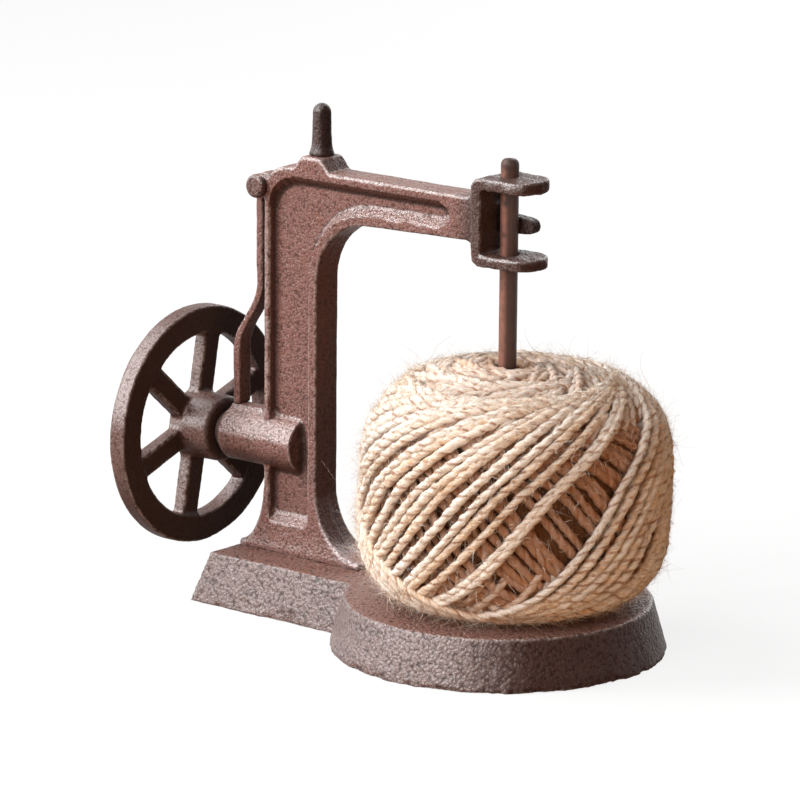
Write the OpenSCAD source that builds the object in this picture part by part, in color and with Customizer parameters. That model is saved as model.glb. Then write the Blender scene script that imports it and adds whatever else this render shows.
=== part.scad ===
// Desk string holder in the form of a small sewing machine. A cast base carries a round tray
// and a cast frame with a fork head. A handwheel turns on a bolt in the frame's bearing boss,
// and a spindle that lifts out carries a ball of twine over the tray.
// Millimetres, +Z up. The origin lies on the surface that the base stands on, at the middle
// of the object's length and width. +X points from the wheel to the tray.

/* [Base casting] */
// Diameter of the round tray at the ground
tray_d = 112.4; // [106:0.2:125]
// Distance from the spindle back to the tray's middle
tray_offset = 2.5; // [0:0.1:4]
// Height of the base casting
base_h = 17; // [15:0.5:22]
// How far the sides lean in from the ground to the top
base_draft = 5; // [3:0.5:6]
// Width of the bed under the frame, at the ground
bed_w = 52; // [44:1:64]
// Distance from the spindle to the far end of the bed, at the ground
bed_reach = 116; // [110:0.5:122]
// How far the bed runs out behind the frame's foot, at the ground
bed_margin = 6.5; // [6:0.5:12]
// Thickness of the base's walls and top
base_wall = 6; // [5:0.5:7]
// Depth of the spindle's socket in the tray
socket_depth = 11; // [8:0.5:12]
// Wall of the socket's boss, below and around the spindle
socket_wall = 3; // [2.5:0.5:5]

/* [Frame casting] */
// Thickness of the frame
frame_t = 12; // [11:0.5:15]
// Width of the pillar
pillar_w = 23; // [20:0.5:26]
// Height of the arm's top edge above the base
frame_h = 134; // [128:1:142]
// Depth of the arm at the fork head
arm_h = 14.5; // [12:0.5:18]
// How much deeper the arm is at the pillar
arm_swell = 2; // [0:0.25:4]
// Radius of the corner inside the throat
throat_r = 22; // [10:0.5:24]
// Radius of the outer corner at the top of the pillar
corner_r = 10; // [6:0.5:12]
// Depth of the recessed panel on each face
recess_depth = 3.25; // [2:0.25:3.5]
// Width of the rim round the panel
rim_w = 3.5; // [2.5:0.25:4.5]
// Width of the panel's rim along the pillar's back
spine_w = 2.5; // [2:0.25:7]
// Height of the panel's lower edge above the base
panel_low = 10.7; // [10:0.1:16]
// Distance from the spindle to the panel's tip in the arm
panel_tip = 20.5; // [17:0.5:30]
// How far the foot runs out behind the pillar
foot_back = 9.5; // [6:0.5:10]
// How far the foot runs out under the throat
foot_front = 20; // [12:0.5:21]
// Height of the foot's sweep
foot_sweep = 23; // [16:0.5:28]
// Thickness of the foot's edge
foot_edge = 2; // [1.5:0.25:3]

/* [Fork head] */
// Height of the head
head_h = 29.5; // [27:0.5:34]
// How far the head stands above the arm
head_rise = 7.5; // [6:0.5:9]
// Width of the head
head_w = 17.4; // [16:0.2:20]
// Thickness of the head's back plate
plate_t = 4; // [3:0.25:4.5]
// Thickness of each lug
lug_t = 4; // [3:0.25:5]
// Distance from the spindle back to the head's back
head_back = 9.6; // [9:0.1:11]
// Distance from the spindle to the end of the lugs
lug_reach = 13.3; // [12:0.1:18]
// Corner radius of the head's back, in side view
lug_r = 4; // [2:0.25:4.5]
// Corner radius of the lugs' ends, seen from above
lug_tip_r = 7.75; // [4:0.25:7.75]
// Radius of the blend between the arm and the head
head_blend = 5; // [3:0.5:6]

/* [Twine guide] */
// Length of the guide finger
guide_l = 12.5; // [10:0.5:18]
// Height of the finger at its root
guide_root = 6.8; // [5.5:0.1:8]
// Diameter of the finger's tip
guide_tip = 5; // [4:0.1:5.4]
// Thickness of the finger
guide_t = 4.2; // [3:0.2:4.6]
// Distance from the spindle's plane to the middle of the finger
guide_out = 6; // [5.6:0.1:6.4]
// How far the finger lies below the middle of the head
guide_drop = 2; // [0:0.25:4]
// Diameter of the shank that holds it in the head
guide_shank = 3; // [2.4:0.2:3.6]

/* [Spool peg] */
// Distance from the pillar's inner face back to the peg
peg_inset = 2.5; // [1:0.5:7]
// Diameter of the peg at its base
peg_d = 7; // [5.5:0.1:7.5]
// How much narrower the peg is at its top
peg_taper = 1; // [0:0.1:1.2]
// Height of the peg above its mound
peg_h = 17.5; // [12:0.5:24]
// Diameter of the peg's shank in the mound
peg_shank = 4; // [3:0.2:5]
// Length of the shank
peg_shank_l = 9; // [6:0.5:12]
// Height of the mound under the peg
mound_h = 4.5; // [3:0.5:6]
// Width of the mound's top
mound_top = 8; // [7.6:0.2:11]
// Width of the mound's foot
mound_w = 16; // [14:0.5:24]

/* [Rear strap] */
// Thickness of the strap
strap_t = 3; // [2:0.25:3.5]
// Width of the strap
strap_w = 6.2; // [5:0.2:7]
// Height above the base where the strap's bend begins
bend_low = 68; // [60:1:74]
// Height above the base where the strap's bend ends
bend_high = 91; // [86:1:96]
// Distance from the end of the bearing boss to the strap
strap_inset = 2.5; // [2:0.25:4]
// How far the strap's seat stands above the bearing boss
seat_rise = 1; // [0.5:0.25:2]
// Diameter of the knuckle and of the pin's heads
knuckle_d = 8.2; // [7:0.2:9]
// How far the strap's bar lies inside the edge of the knuckle
strap_step = 0.4; // [0.2:0.1:0.8]
// Diameter of the pin
pin_d = 4; // [3:0.2:5]
// Thickness of each of the pin's heads
pin_head = 2.5; // [1.75:0.25:3.5]
// Rounding of the pin's heads
pin_round = 1.5; // [0.5:0.25:1.5]
// How far the pin stands out behind the pillar
pin_out = 2.2; // [1.5:0.1:3]
// Distance from the arm's top edge down to the pin
pin_drop = 8; // [7:0.5:10]

/* [Wheel and bearing] */
// Distance from the bed's far end to the wheel's outer face
wheel_clear = 22.5; // [21:0.5:28]
// Diameter of the wheel
wheel_d = 83; // [74:1:88]
// Thickness of the wheel's rim
wheel_t = 6.5; // [5:0.25:8]
// Width of the rim, measured along a spoke
wheel_rim = 9.5; // [6:0.5:10]
// Number of spokes
spokes = 6; // [5:1:8]
// Width of a spoke
spoke_w = 8; // [4.5:0.1:9]
// Thickness of a spoke
spoke_t = 5; // [4:0.25:6]
// Lean of the upright spoke towards +Y, in degrees
spoke_turn = 11; // [0:1:30]
// Diameter of the hub
hub_d = 23; // [21:0.5:26]
// Length of the hub
hub_l = 17.2; // [16:0.1:17.4]
// Rounding of the hub and of the boss at their facing ends
end_round = 2; // [1:0.25:3]
// Height of the wheel's axis above the base
axle_h = 37.5; // [34:0.5:42]
// Diameter of the axle bolt
axle_d = 6; // [5:0.25:7]
// Length of the axle bolt inside the boss
axle_grip = 18; // [14:0.5:22]
// Diameter of the axle bolt's head
axle_head_d = 11; // [9:0.5:12]
// Thickness of the axle bolt's head
axle_head_t = 4; // [3:0.25:5]
// How far the bolt's head lies inside the wheel's outer face
head_sink = 0.8; // [0.5:0.1:1.5]
// Diameter of the two axle washers
washer_d = 13.5; // [12.5:0.5:15]
// Thickness of the washer under the bolt's head
washer_t = 1.2; // [0.8:0.1:2]
// Thickness of the thrust washer between hub and boss
thrust_t = 2.4; // [1.6:0.1:3]
// Diameter of the bearing boss
boss_d = 19; // [17:0.5:21]
// How far the boss runs in from the pillar's back
boss_inset = 14.3; // [10:0.5:18]

/* [Frame screws] */
// Diameter of the screws that hold the frame down
screw_d = 5; // [4:0.5:6]
// Distance between the two screws
screw_gap = 24; // [18:0.5:26]
// Length of screw inside the frame's foot
screw_bite = 8.5; // [6:0.5:9]
// Diameter of a screw's head
screw_head_d = 9; // [7:0.5:10]
// Thickness of a screw's head
screw_head_t = 3.5; // [2.5:0.25:4]
// Diameter of a screw's washer
screw_washer_d = 11; // [10.5:0.5:13]
// Thickness of a screw's washer
screw_washer_t = 1; // [0.8:0.1:1.6]
// How far the screws' bosses hang below the base's top
screw_boss_h = 2; // [1:0.25:2.5]

/* [Spindle] */
// Diameter of the spindle
spindle_d = 6; // [5:0.25:7]
// How far the spindle stands above the fork head
spindle_proud = 6.2; // [3:0.1:10]
// Rounding of the spindle's top end
spindle_round = 2; // [1:0.25:2.4]

/* [Ball of twine] */
// Diameter of the ball at its waist
ball_d = 100.8; // [90:0.2:104]
// Height of the ball
ball_h = 81; // [74:0.5:90]
// Height of the waist above the ball's foot
ball_waist = 46; // [40:0.5:48]
// How square the ball's upper half is, where 2 is round
top_square = 2.4; // [2:0.1:4]
// How square the ball's lower half is, where it rests on the tray
low_square = 5; // [2:0.1:6]
// Distance along X from the spindle to the middle of the ball
ball_off_x = 2.4; // [0:0.1:4]
// Distance along Y from the spindle to the middle of the ball
ball_off_y = 2; // [0:0.1:4]
// Diameter of the twine
twine_d = 3; // [2:0.1:3.4]
// Number of loops in the outer winding
loops = 14; // [8:1:15]
// Lean of the outer loops, in degrees
loop_lean = 35; // [20:1:38]
// Angle over which the outer loops spread, in degrees
loop_spread = 88; // [80:1:90]
// Radius of the dimple round the spindle
dimple_r = 7; // [5:0.5:9]
// Depth of the dimple
dimple_depth = 4; // [2:0.5:8]

/* [Clearances] */
// Running clearance round a turning or sliding shaft
running = 0.1; // [0.05:0.01:0.1]
// Clearance round a shaft that is held fast
snug = 0.02; // [0.01:0.01:0.05]
// Clearance between loose faces
loose = 0.3; // [0.2:0.05:0.5]

/* [Hidden] */
$fn = 64;
// Steps in the quarter curve of the foot's sweep and in the strap's bend
curve_steps = 12;
// Rings of tube in one loop of twine, and sides of the tube
loop_rings = 24;
tube_sides = 6;
// Steps in the outline of the twine core
core_steps = 40;
// Room for a cut to pass through a face
past = 1;

iron = [0.36, 0.26, 0.23];
dark_iron = [0.27, 0.20, 0.18];
steel = [0.38, 0.25, 0.21];
jute = [0.80, 0.66, 0.47];

tray_r = tray_d / 2;
wheel_reach = bed_reach + wheel_clear;
spindle_x = (wheel_reach - tray_r + tray_offset) / 2;
tray_x = spindle_x - tray_offset;
bed_far = spindle_x - bed_reach;
pillar_back = bed_far + bed_margin + foot_back;
pillar_in = pillar_back + pillar_w;
pillar_mid = pillar_back + pillar_w / 2;
arm_top = base_h + frame_h;
arm_low = arm_top - arm_h;
head_x = spindle_x - head_back;
// Slope of the arm's underside, in degrees, and the middle of the throat's corner
arm_slope = atan(arm_swell / (head_x - pillar_in));
throat_mid = [pillar_in + throat_r, arm_low - arm_swell + throat_r * (tan(arm_slope) - 1 / cos(arm_slope))];
head_top = arm_top + head_rise;
head_low = head_top - head_h;
lug_end = spindle_x + lug_reach;
axis_z = base_h + axle_h;
wheel_out = spindle_x - wheel_reach;
hub_end = wheel_out + hub_l;
boss_end = hub_end + loose + thrust_t;
boss_in = pillar_back + boss_inset;
axle_head_x = wheel_out + head_sink;
axle_seat_x = axle_head_x + axle_head_t;
sink_depth = head_sink + axle_head_t + washer_t + loose;
sink_r = washer_d / 2 + loose;
peg_x = pillar_in - peg_inset;
peg_z = arm_top + mound_h;
pin_x = pillar_back - pin_out;
pin_z = arm_top - pin_drop;
knuckle_r = knuckle_d / 2;
strap_low_x = boss_end + strap_inset;
strap_high_x = pin_x - knuckle_r + strap_step;
seat_z = axis_z + boss_d / 2 + seat_rise;
guide_x = head_x + plate_t;
guide_z = (head_top + head_low) / 2 - guide_drop - guide_root / 2;
screw_seat = base_h - base_wall - screw_boss_h;
socket_z = base_h - socket_depth;
spindle_l = head_top + spindle_proud - socket_z;
bore_r = spindle_d / 2 + loose;
ball_mid = [spindle_x + ball_off_x, ball_off_y, base_h + loose + ball_waist];
// Half width of the ball's form along the middle of the twine, and its rise and drop from the waist
wind_form = [ball_d / 2, ball_h - ball_waist, ball_waist] - [1, 1, 1] * twine_d / 2;

// A bar of round section along X, from x = from to x = to, on the wheel's axis
module axis_rod(from, to, r) {
    translate([from, 0, axis_z])
        rotate([0, 90, 0])
            cylinder(h = to - from, r = r);
}

// An outline in X and Z, made as thick as asked, with its middle on the plane y = mid
module plate(thick, mid = 0) {
    translate([0, mid, 0])
        rotate([90, 0, 0])
            linear_extrude(height = thick, center = true)
                children();
}

// The filler of an inside corner: x and z are the corner, sx and sz point into the open side
module corner_fill(x, z, r, sx, sz) {
    translate([x, z])
        difference() {
            translate([sx > 0 ? 0 : -r, sz > 0 ? 0 : -r])
                square(r);
            translate([sx * r, sz * r])
                circle(r);
        }
}

// Side view of the bed's block: a trapezoid with leaning ends, drawn from low to high ends
module leaning_side(low_from, low_to, lean_from, lean_to, height) {
    polygon([[low_from, 0], [low_to, 0], [low_to - lean_to, height], [low_from + lean_from, height]]);
}

// A solid bed of given half width, far end and height, with every side leaning in alike
module bed_block(half_w, far_x, height) {
    lean = base_draft * height / base_h;
    intersection() {
        plate(2 * half_w)
            leaning_side(far_x, spindle_x, lean, 0, height);
        rotate([90, 0, 90])
            translate([0, 0, far_x])
                linear_extrude(height = spindle_x - far_x)
                    leaning_side(-half_w, half_w, lean, lean, height);
    }
}

// A solid tray with leaning side
module tray_block(radius, height) {
    translate([tray_x, 0, 0])
        cylinder(h = height, r1 = radius, r2 = radius - base_draft * height / base_h);
}

// Places its children at both frame screws
module at_screws() {
    for (side = [-1, 1])
        translate([pillar_mid + side * screw_gap / 2, 0, 0])
            children();
}

// Base casting: round tray and bed in one, hollow below, with a socket for the spindle
module base_casting() {
    inner_h = base_h - base_wall;
    boss_r = spindle_d / 2 + running + socket_wall;
    color(iron)
        difference() {
            union() {
                difference() {
                    union() {
                        tray_block(tray_r, base_h);
                        bed_block(bed_w / 2, bed_far, base_h);
                    }
                    tray_block(tray_r - base_wall, inner_h);
                    bed_block(bed_w / 2 - base_wall, bed_far + base_wall, inner_h);
                }
                translate([spindle_x, 0, socket_z - socket_wall])
                    cylinder(h = socket_depth + socket_wall - base_wall / 2, r = boss_r);
                at_screws()
                    translate([0, 0, screw_seat])
                        cylinder(h = screw_boss_h + base_wall / 2, r = screw_washer_d / 2);
            }
            translate([spindle_x, 0, socket_z])
                cylinder(h = socket_depth + past, r = spindle_d / 2 + running);
            at_screws()
                translate([0, 0, screw_seat - past])
                    cylinder(h = base_h - screw_seat + 2 * past, r = screw_d / 2 + loose);
        }
}

// Points of the foot's sweep, from the pillar's face down and out to the foot's edge
function sweep(face, out) =
    [for (i = [0 : curve_steps])
        let (t = 90 * i / curve_steps)
        [face + out * (1 - cos(t)), base_h + foot_edge + foot_sweep * (1 - sin(t))]];

// Outline of the foot that spreads below the pillar
module foot_outline() {
    polygon(concat(
        [[pillar_back - foot_back, base_h], [pillar_in + foot_front, base_h]],
        [for (i = [curve_steps : -1 : 0]) sweep(pillar_in, foot_front)[i]],
        sweep(pillar_back, -foot_back)));
}

// Height of a line that runs along the arm's underside, a distance inside it
function arm_under(x, inside) =
    arm_low - arm_swell + (x - pillar_in) * tan(arm_slope) + inside / cos(arm_slope);

// Filler of the throat's corner, between two lines that run a distance inside the frame's edge
module throat_fill(inside) {
    radius = throat_r + inside;
    difference() {
        polygon([[pillar_in - inside, throat_mid.y],
                 throat_mid,
                 throat_mid + radius * [-sin(arm_slope), cos(arm_slope)],
                 [pillar_in - inside, arm_under(pillar_in - inside, inside)]]);
        translate(throat_mid)
            circle(radius);
    }
}

// Outline of the pillar and arm with its rounded outer corner and throat
module frame_outline() {
    arm_end = head_x + plate_t / 2;
    difference() {
        union() {
            translate([pillar_back, base_h])
                square([pillar_w, frame_h]);
            polygon([[pillar_back, arm_under(pillar_back, 0)], [head_x, arm_low], [arm_end, arm_low],
                     [arm_end, arm_top], [pillar_back, arm_top]]);
            throat_fill(0);
            corner_fill(head_x, arm_top, head_blend, -1, 1);
            corner_fill(head_x, arm_low, head_blend, -1, -1);
        }
        corner_fill(pillar_back, arm_top, corner_r, 1, -1);
    }
}

// Outline of the recessed panel, a rim's width inside the frame
module panel_outline() {
    low = base_h + panel_low;
    left = pillar_back + spine_w;
    right = pillar_in - rim_w;
    top = arm_top - rim_w;
    tip_end = spindle_x - panel_tip;
    tip_r = (top - arm_under(tip_end, rim_w)) / (1 + 1 / cos(arm_slope) - tan(arm_slope));
    tip = [tip_end - tip_r, top - tip_r];
    difference() {
        union() {
            translate([left, low])
                square([right - left, top - low]);
            polygon([[left, arm_under(left, rim_w)], tip + tip_r * [sin(arm_slope), -cos(arm_slope)],
                     [tip.x, top], [left, top]]);
            translate(tip)
                circle(tip_r);
            throat_fill(rim_w);
        }
        corner_fill(left, top, corner_r, 1, -1);
    }
}

// Mound that carries the spool peg
module mound_outline() {
    polygon([[peg_x - mound_w / 2, arm_top], [peg_x, arm_top - mound_h],
             [peg_x + mound_w / 2, arm_top], [peg_x + mound_top / 2, peg_z],
             [peg_x - mound_top / 2, peg_z]]);
}

// Fork head: a back plate with an upper and a lower lug, rounded in side view and in plan
module fork_head() {
    inner_h = head_h - 2 * lug_t;
    intersection() {
        plate(head_w)
            difference() {
                translate([head_x, head_low])
                    square([lug_end - head_x, head_h]);
                translate([guide_x, head_low + lug_t])
                    square([lug_end - head_x, inner_h]);
                corner_fill(head_x, head_low, lug_r, 1, 1);
                corner_fill(head_x, head_top, lug_r, 1, -1);
            }
        translate([0, 0, head_low - past])
            linear_extrude(height = head_h + 2 * past)
                difference() {
                    translate([head_x, -head_w / 2])
                        square([lug_end - head_x, head_w]);
                    corner_fill(lug_end, -head_w / 2, lug_tip_r, -1, 1);
                    corner_fill(lug_end, head_w / 2, lug_tip_r, -1, -1);
                }
    }
}

// Bearing boss for the wheel's axle, rounded at the wheel's end
module bearing_boss() {
    translate([boss_end, 0, axis_z])
        rotate([0, 90, 0])
            rotate_extrude() {
                difference() {
                    square([boss_d / 2, boss_in - boss_end]);
                    corner_fill(boss_d / 2, 0, end_round, -1, 1);
                }
            }
    translate([strap_low_x - past, -strap_w / 2, axis_z])
        cube([pillar_back + past - strap_low_x + past, strap_w, seat_z - axis_z]);
}

// Frame casting: foot, pillar, arm, fork head, bearing boss, mound and strap knuckle
module frame_casting() {
    color(iron)
        difference() {
            union() {
                difference() {
                    plate(frame_t) {
                        foot_outline();
                        frame_outline();
                        mound_outline();
                    }
                    for (side = [-1, 1])
                        plate(recess_depth + past, side * (frame_t - recess_depth + past) / 2)
                            panel_outline();
                }
                fork_head();
                bearing_boss();
                plate(frame_t)
                    translate([pin_x, pin_z])
                        circle(knuckle_r);
            }
            plate(strap_w + 2 * loose)
                translate([pin_x, pin_z])
                    circle(knuckle_r + loose);
            plate(frame_t + 2 * past)
                translate([pin_x, pin_z])
                    circle(pin_d / 2 + snug);
            translate([spindle_x, 0, head_low - past])
                cylinder(h = head_h + 2 * past, r = spindle_d / 2 + running);
            translate([head_x - past, guide_out, guide_z + guide_root / 2])
                rotate([0, 90, 0])
                    cylinder(h = plate_t + 2 * past, r = guide_shank / 2 + snug);
            translate([peg_x, 0, peg_z - peg_shank_l])
                cylinder(h = peg_shank_l + past, r = peg_shank / 2 + snug);
            axis_rod(boss_end - past, boss_end + axle_grip, axle_d / 2 + snug);
            at_screws()
                translate([0, 0, base_h - past])
                    cylinder(h = screw_bite + past, r = screw_d / 2 + snug);
        }
}

// Two screws that come up through the bed into the frame's foot
module frame_screws() {
    head_z = screw_seat - screw_washer_t - screw_head_t;
    color(dark_iron)
        at_screws()
            translate([0, 0, head_z]) {
                cylinder(h = screw_head_t, d = screw_head_d);
                cylinder(h = base_h + screw_bite - head_z, d = screw_d);
            }
}

// Two washers under the heads of the frame screws
module frame_screw_washers() {
    color(steel)
        at_screws()
            translate([0, 0, screw_seat - screw_washer_t])
                difference() {
                    cylinder(h = screw_washer_t, d = screw_washer_d);
                    translate([0, 0, -past])
                        cylinder(h = screw_washer_t + 2 * past, r = screw_d / 2 + loose);
                }
}

// Spool peg: a tapered pin with a domed top and a shank pressed into the mound
module spool_peg() {
    base_r = peg_d / 2;
    top_r = base_r - peg_taper / 2;
    shoulder = peg_h - top_r;
    color(iron)
        translate([peg_x, 0, peg_z])
            rotate_extrude() {
                translate([0, -peg_shank_l])
                    square([peg_shank / 2, peg_shank_l]);
                polygon([[0, 0], [base_r, 0], [top_r, shoulder], [0, shoulder]]);
                intersection() {
                    translate([0, shoulder])
                        circle(top_r);
                    translate([0, shoulder - past])
                        square([top_r, top_r + past]);
                }
            }
}

// Twine guide: a tapered finger behind the spindle, held by a shank in the head's back plate
module twine_guide() {
    tip_r = guide_tip / 2;
    mid_z = guide_z + guide_root / 2;
    tip_x = guide_x + guide_l - tip_r;
    color(dark_iron) {
        plate(guide_t, guide_out) {
            polygon([[guide_x, guide_z], [tip_x, mid_z - tip_r],
                     [tip_x, mid_z + tip_r], [guide_x, guide_z + guide_root]]);
            translate([tip_x, mid_z])
                circle(tip_r);
        }
        translate([head_x + past, guide_out, mid_z])
            rotate([0, 90, 0])
                cylinder(h = plate_t, r = guide_shank / 2);
    }
}

// Outer face of the strap at a height: straight below the bend and above it
function strap_x(z) =
    let (t = (z - base_h - bend_low) / (bend_high - bend_low))
    let (s = min(1, max(0, t)))
    strap_low_x + (strap_high_x - strap_low_x) * s * s * (3 - 2 * s);

// Rear strap: a flat bar from the knuckle behind the pillar down to its seat on the boss
module rear_strap() {
    bend = [for (i = [0 : curve_steps]) base_h + bend_low + (bend_high - bend_low) * i / curve_steps];
    heights = concat([seat_z], bend, [pin_z - (pin_d + knuckle_d) / 4]);
    last = len(heights) - 1;
    color(iron)
        plate(strap_w)
            difference() {
                union() {
                    polygon(concat(
                        [for (z = heights) [strap_x(z) + strap_t, z]],
                        [for (i = [last : -1 : 0]) [strap_x(heights[i]), heights[i]]]));
                    translate([pin_x, pin_z])
                        circle(knuckle_r);
                }
                translate([pin_x, pin_z])
                    circle(pin_d / 2 + snug);
            }
}

// Outline of the strap pin's half: shaft from the middle out, and a rounded head
module pin_profile() {
    square([pin_d / 2, frame_t / 2 + pin_head]);
    translate([0, frame_t / 2])
        difference() {
            square([knuckle_r, pin_head]);
            corner_fill(knuckle_r, pin_head, pin_round, -1, -1);
        }
}

// Strap pin: a headed pin across the knuckle
module strap_pin() {
    color(iron)
        translate([pin_x, 0, pin_z])
            rotate([90, 0, 0]) {
                rotate_extrude()
                    pin_profile();
                mirror([0, 0, 1])
                    rotate_extrude()
                        pin_profile();
            }
}

// Axle bolt: its head lies in the hub, its shaft goes through the hub into the boss
module wheel_axle() {
    color(dark_iron) {
        axis_rod(axle_head_x, axle_seat_x, axle_head_d / 2);
        axis_rod(axle_head_x, boss_end + axle_grip, axle_d / 2);
    }
}

// Washer under the axle bolt's head
module axle_washer() {
    color(steel)
        difference() {
            axis_rod(axle_seat_x, axle_seat_x + washer_t, washer_d / 2);
            axis_rod(axle_seat_x - past, axle_seat_x + washer_t + past, axle_d / 2 + snug);
        }
}

// Thrust washer between the hub and the bearing boss
module thrust_washer() {
    color(steel)
        difference() {
            axis_rod(boss_end - thrust_t, boss_end, washer_d / 2);
            axis_rod(boss_end - thrust_t - past, boss_end + past, axle_d / 2 + snug);
        }
}

// Handwheel: rim, spokes and a long hub that is rounded towards the boss
module handwheel() {
    rim_in = wheel_d / 2 - wheel_rim;
    color(dark_iron)
        difference() {
            translate([wheel_out, 0, axis_z])
                rotate([0, 90, 0]) {
                    rotate_extrude() {
                        translate([rim_in, 0])
                            square([wheel_rim, wheel_t]);
                        difference() {
                            square([hub_d / 2, hub_l]);
                            corner_fill(hub_d / 2, hub_l, end_round, -1, -1);
                        }
                    }
                    for (i = [0 : spokes - 1])
                        rotate([0, 0, 360 * i / spokes - spoke_turn])
                            translate([0, -spoke_w / 2, (wheel_t - spoke_t) / 2])
                                cube([rim_in + wheel_rim / 2, spoke_w, spoke_t]);
                }
            axis_rod(wheel_out - past, hub_end + past, axle_d / 2 + running);
            axis_rod(wheel_out - past, wheel_out + sink_depth, sink_r);
        }
}

// Spindle: a plain rod with a rounded top that stands in the socket and passes the fork
module spindle() {
    color(steel)
        translate([spindle_x, 0, socket_z])
            rotate_extrude()
                difference() {
                    square([spindle_d / 2, spindle_l]);
                    corner_fill(spindle_d / 2, spindle_l, spindle_round, -1, -1);
                }
}

// Point of the ball's form in the direction v: a squared spheroid with its own rise and drop
function on_form(form, v) =
    let (up = v.z > 0)
    let (square = up ? top_square : low_square)
    let (k = pow(pow(norm([v.x, v.y]), square) + pow(abs(v.z), square), -1 / square))
    k * [form[0] * v.x, form[0] * v.y, (up ? form[1] : form[2]) * v.z];

// Middle of the twine at a step: leaning loops that climb evenly over the ball
function lean(v) = [v.x, v.y * cos(loop_lean) - v.z * sin(loop_lean),
                    v.y * sin(loop_lean) + v.z * cos(loop_lean)];
function wind_point(k) =
    let (turn = 360 * k / loop_rings)
    let (rise = loop_spread * (k / (loops * loop_rings) - 0.5))
    on_form(wind_form, lean([cos(rise) * cos(turn), cos(rise) * sin(turn), sin(rise)]));
function unit(v) = v / norm(v);

// The wound path, with one twine's width of straight twine at each end
wound = [for (k = [0 : loops * loop_rings]) wind_point(k)];
wound_last = len(wound) - 1;
twine_path = concat(
    [wound[0] + twine_d * unit(wound[0] - wound[1])],
    wound,
    [wound[wound_last] + twine_d * unit(wound[wound_last] - wound[wound_last - 1])]);
path_last = len(twine_path) - 1;

// How far the straight steps of the path cut inside the ball's form, at most
function cut_inside(v) =
    let (tall = v.z > 0 ? wind_form[1] : wind_form[2])
    norm(on_form(wind_form, [v.x / wind_form[0], v.y / wind_form[0], v.z / tall]) - v);
chord_sag = max([for (k = [1 : wound_last]) cut_inside((wound[k - 1] + wound[k]) / 2)]);
core_form = wind_form - [1, 1, 1] * (twine_d / 2 + chord_sag + loose);

// Half outline of the twine core, from its foot to its top
function core_outline() =
    [for (i = [0 : core_steps])
        let (t = 180 * i / core_steps - 90)
        let (p = on_form(core_form, [cos(t), 0, sin(t)]))
        [p.x, p.z]];

// Twine core: the wound body of the ball, with the spindle's bore and a dimple at each end
module twine_core() {
    foot_z = ball_mid.z - core_form[2];
    top_z = ball_mid.z + core_form[1];
    color(jute)
        difference() {
            translate(ball_mid)
                rotate_extrude()
                    polygon(core_outline());
            translate([spindle_x, 0, foot_z - past])
                cylinder(h = top_z - foot_z + 2 * past, r = bore_r);
            translate([spindle_x, 0, foot_z])
                cylinder(h = dimple_depth, r1 = dimple_r, r2 = bore_r);
            translate([spindle_x, 0, top_z - dimple_depth])
                cylinder(h = dimple_depth, r1 = bore_r, r2 = dimple_r);
        }
}

// Ring of points round the twine's middle at a step
function tube_ring(k) =
    let (along = unit(twine_path[min(k + 1, path_last)] - twine_path[max(k - 1, 0)]))
    let (side = unit(cross(along, twine_path[k])))
    let (out = cross(side, along))
    [for (i = [0 : tube_sides - 1])
        let (a = 360 * i / tube_sides)
        twine_path[k] + twine_d / 2 * (cos(a) * out + sin(a) * side)];

// Triangles of the tube's wall between two rings, and of its two flat ends
function wall_faces() =
    [for (k = [0 : path_last - 1], i = [0 : tube_sides - 1], half = [0, 1])
        let (j = (i + 1) % tube_sides)
        let (low = k * tube_sides)
        let (high = low + tube_sides)
        half == 0 ? [low + i, high + j, low + j] : [low + i, high + i, high + j]];
function end_faces() =
    let (top = path_last * tube_sides)
    concat(
        [for (i = [1 : tube_sides - 2]) [0, i, i + 1]],
        [for (i = [1 : tube_sides - 2]) [top, top + i + 1, top + i]]);

// Least gap of the winding to itself, from the middle of each step to all later loops
function least_gap() =
    min([for (i = [0 : path_last - loop_rings / 2], j = [i + loop_rings / 2 : path_last])
        norm(twine_path[i] - twine_path[j])]) - twine_d;

// Twine winding: the outer loops as one unbroken tube over the core
module twine_winding() {
    echo(least_gap_of_the_winding = least_gap());
    color(jute)
        translate(ball_mid)
            polyhedron(
                points = [for (k = [0 : path_last]) each tube_ring(k)],
                faces = concat(wall_faces(), end_faces()));
}

base_casting();
frame_casting();
frame_screws();
frame_screw_washers();
spool_peg();
twine_guide();
rear_strap();
strap_pin();
wheel_axle();
axle_washer();
thrust_washer();
handwheel();
spindle();
twine_core();
twine_winding();
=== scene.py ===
"""Looks of a cast-iron string holder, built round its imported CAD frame.

The castings are softened copies of the CAD solids with sand-cast grain, the ball of twine is
a set of two-ply strands wound over a squared spheroid, and every finish is a procedural material.
"""

import logging
import math
from dataclasses import dataclass, field
from enum import Enum
from typing import Dict, List, Optional, Sequence, Tuple, Union

import bmesh
import bpy
import numpy as np
from mathutils import Matrix, Vector


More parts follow.
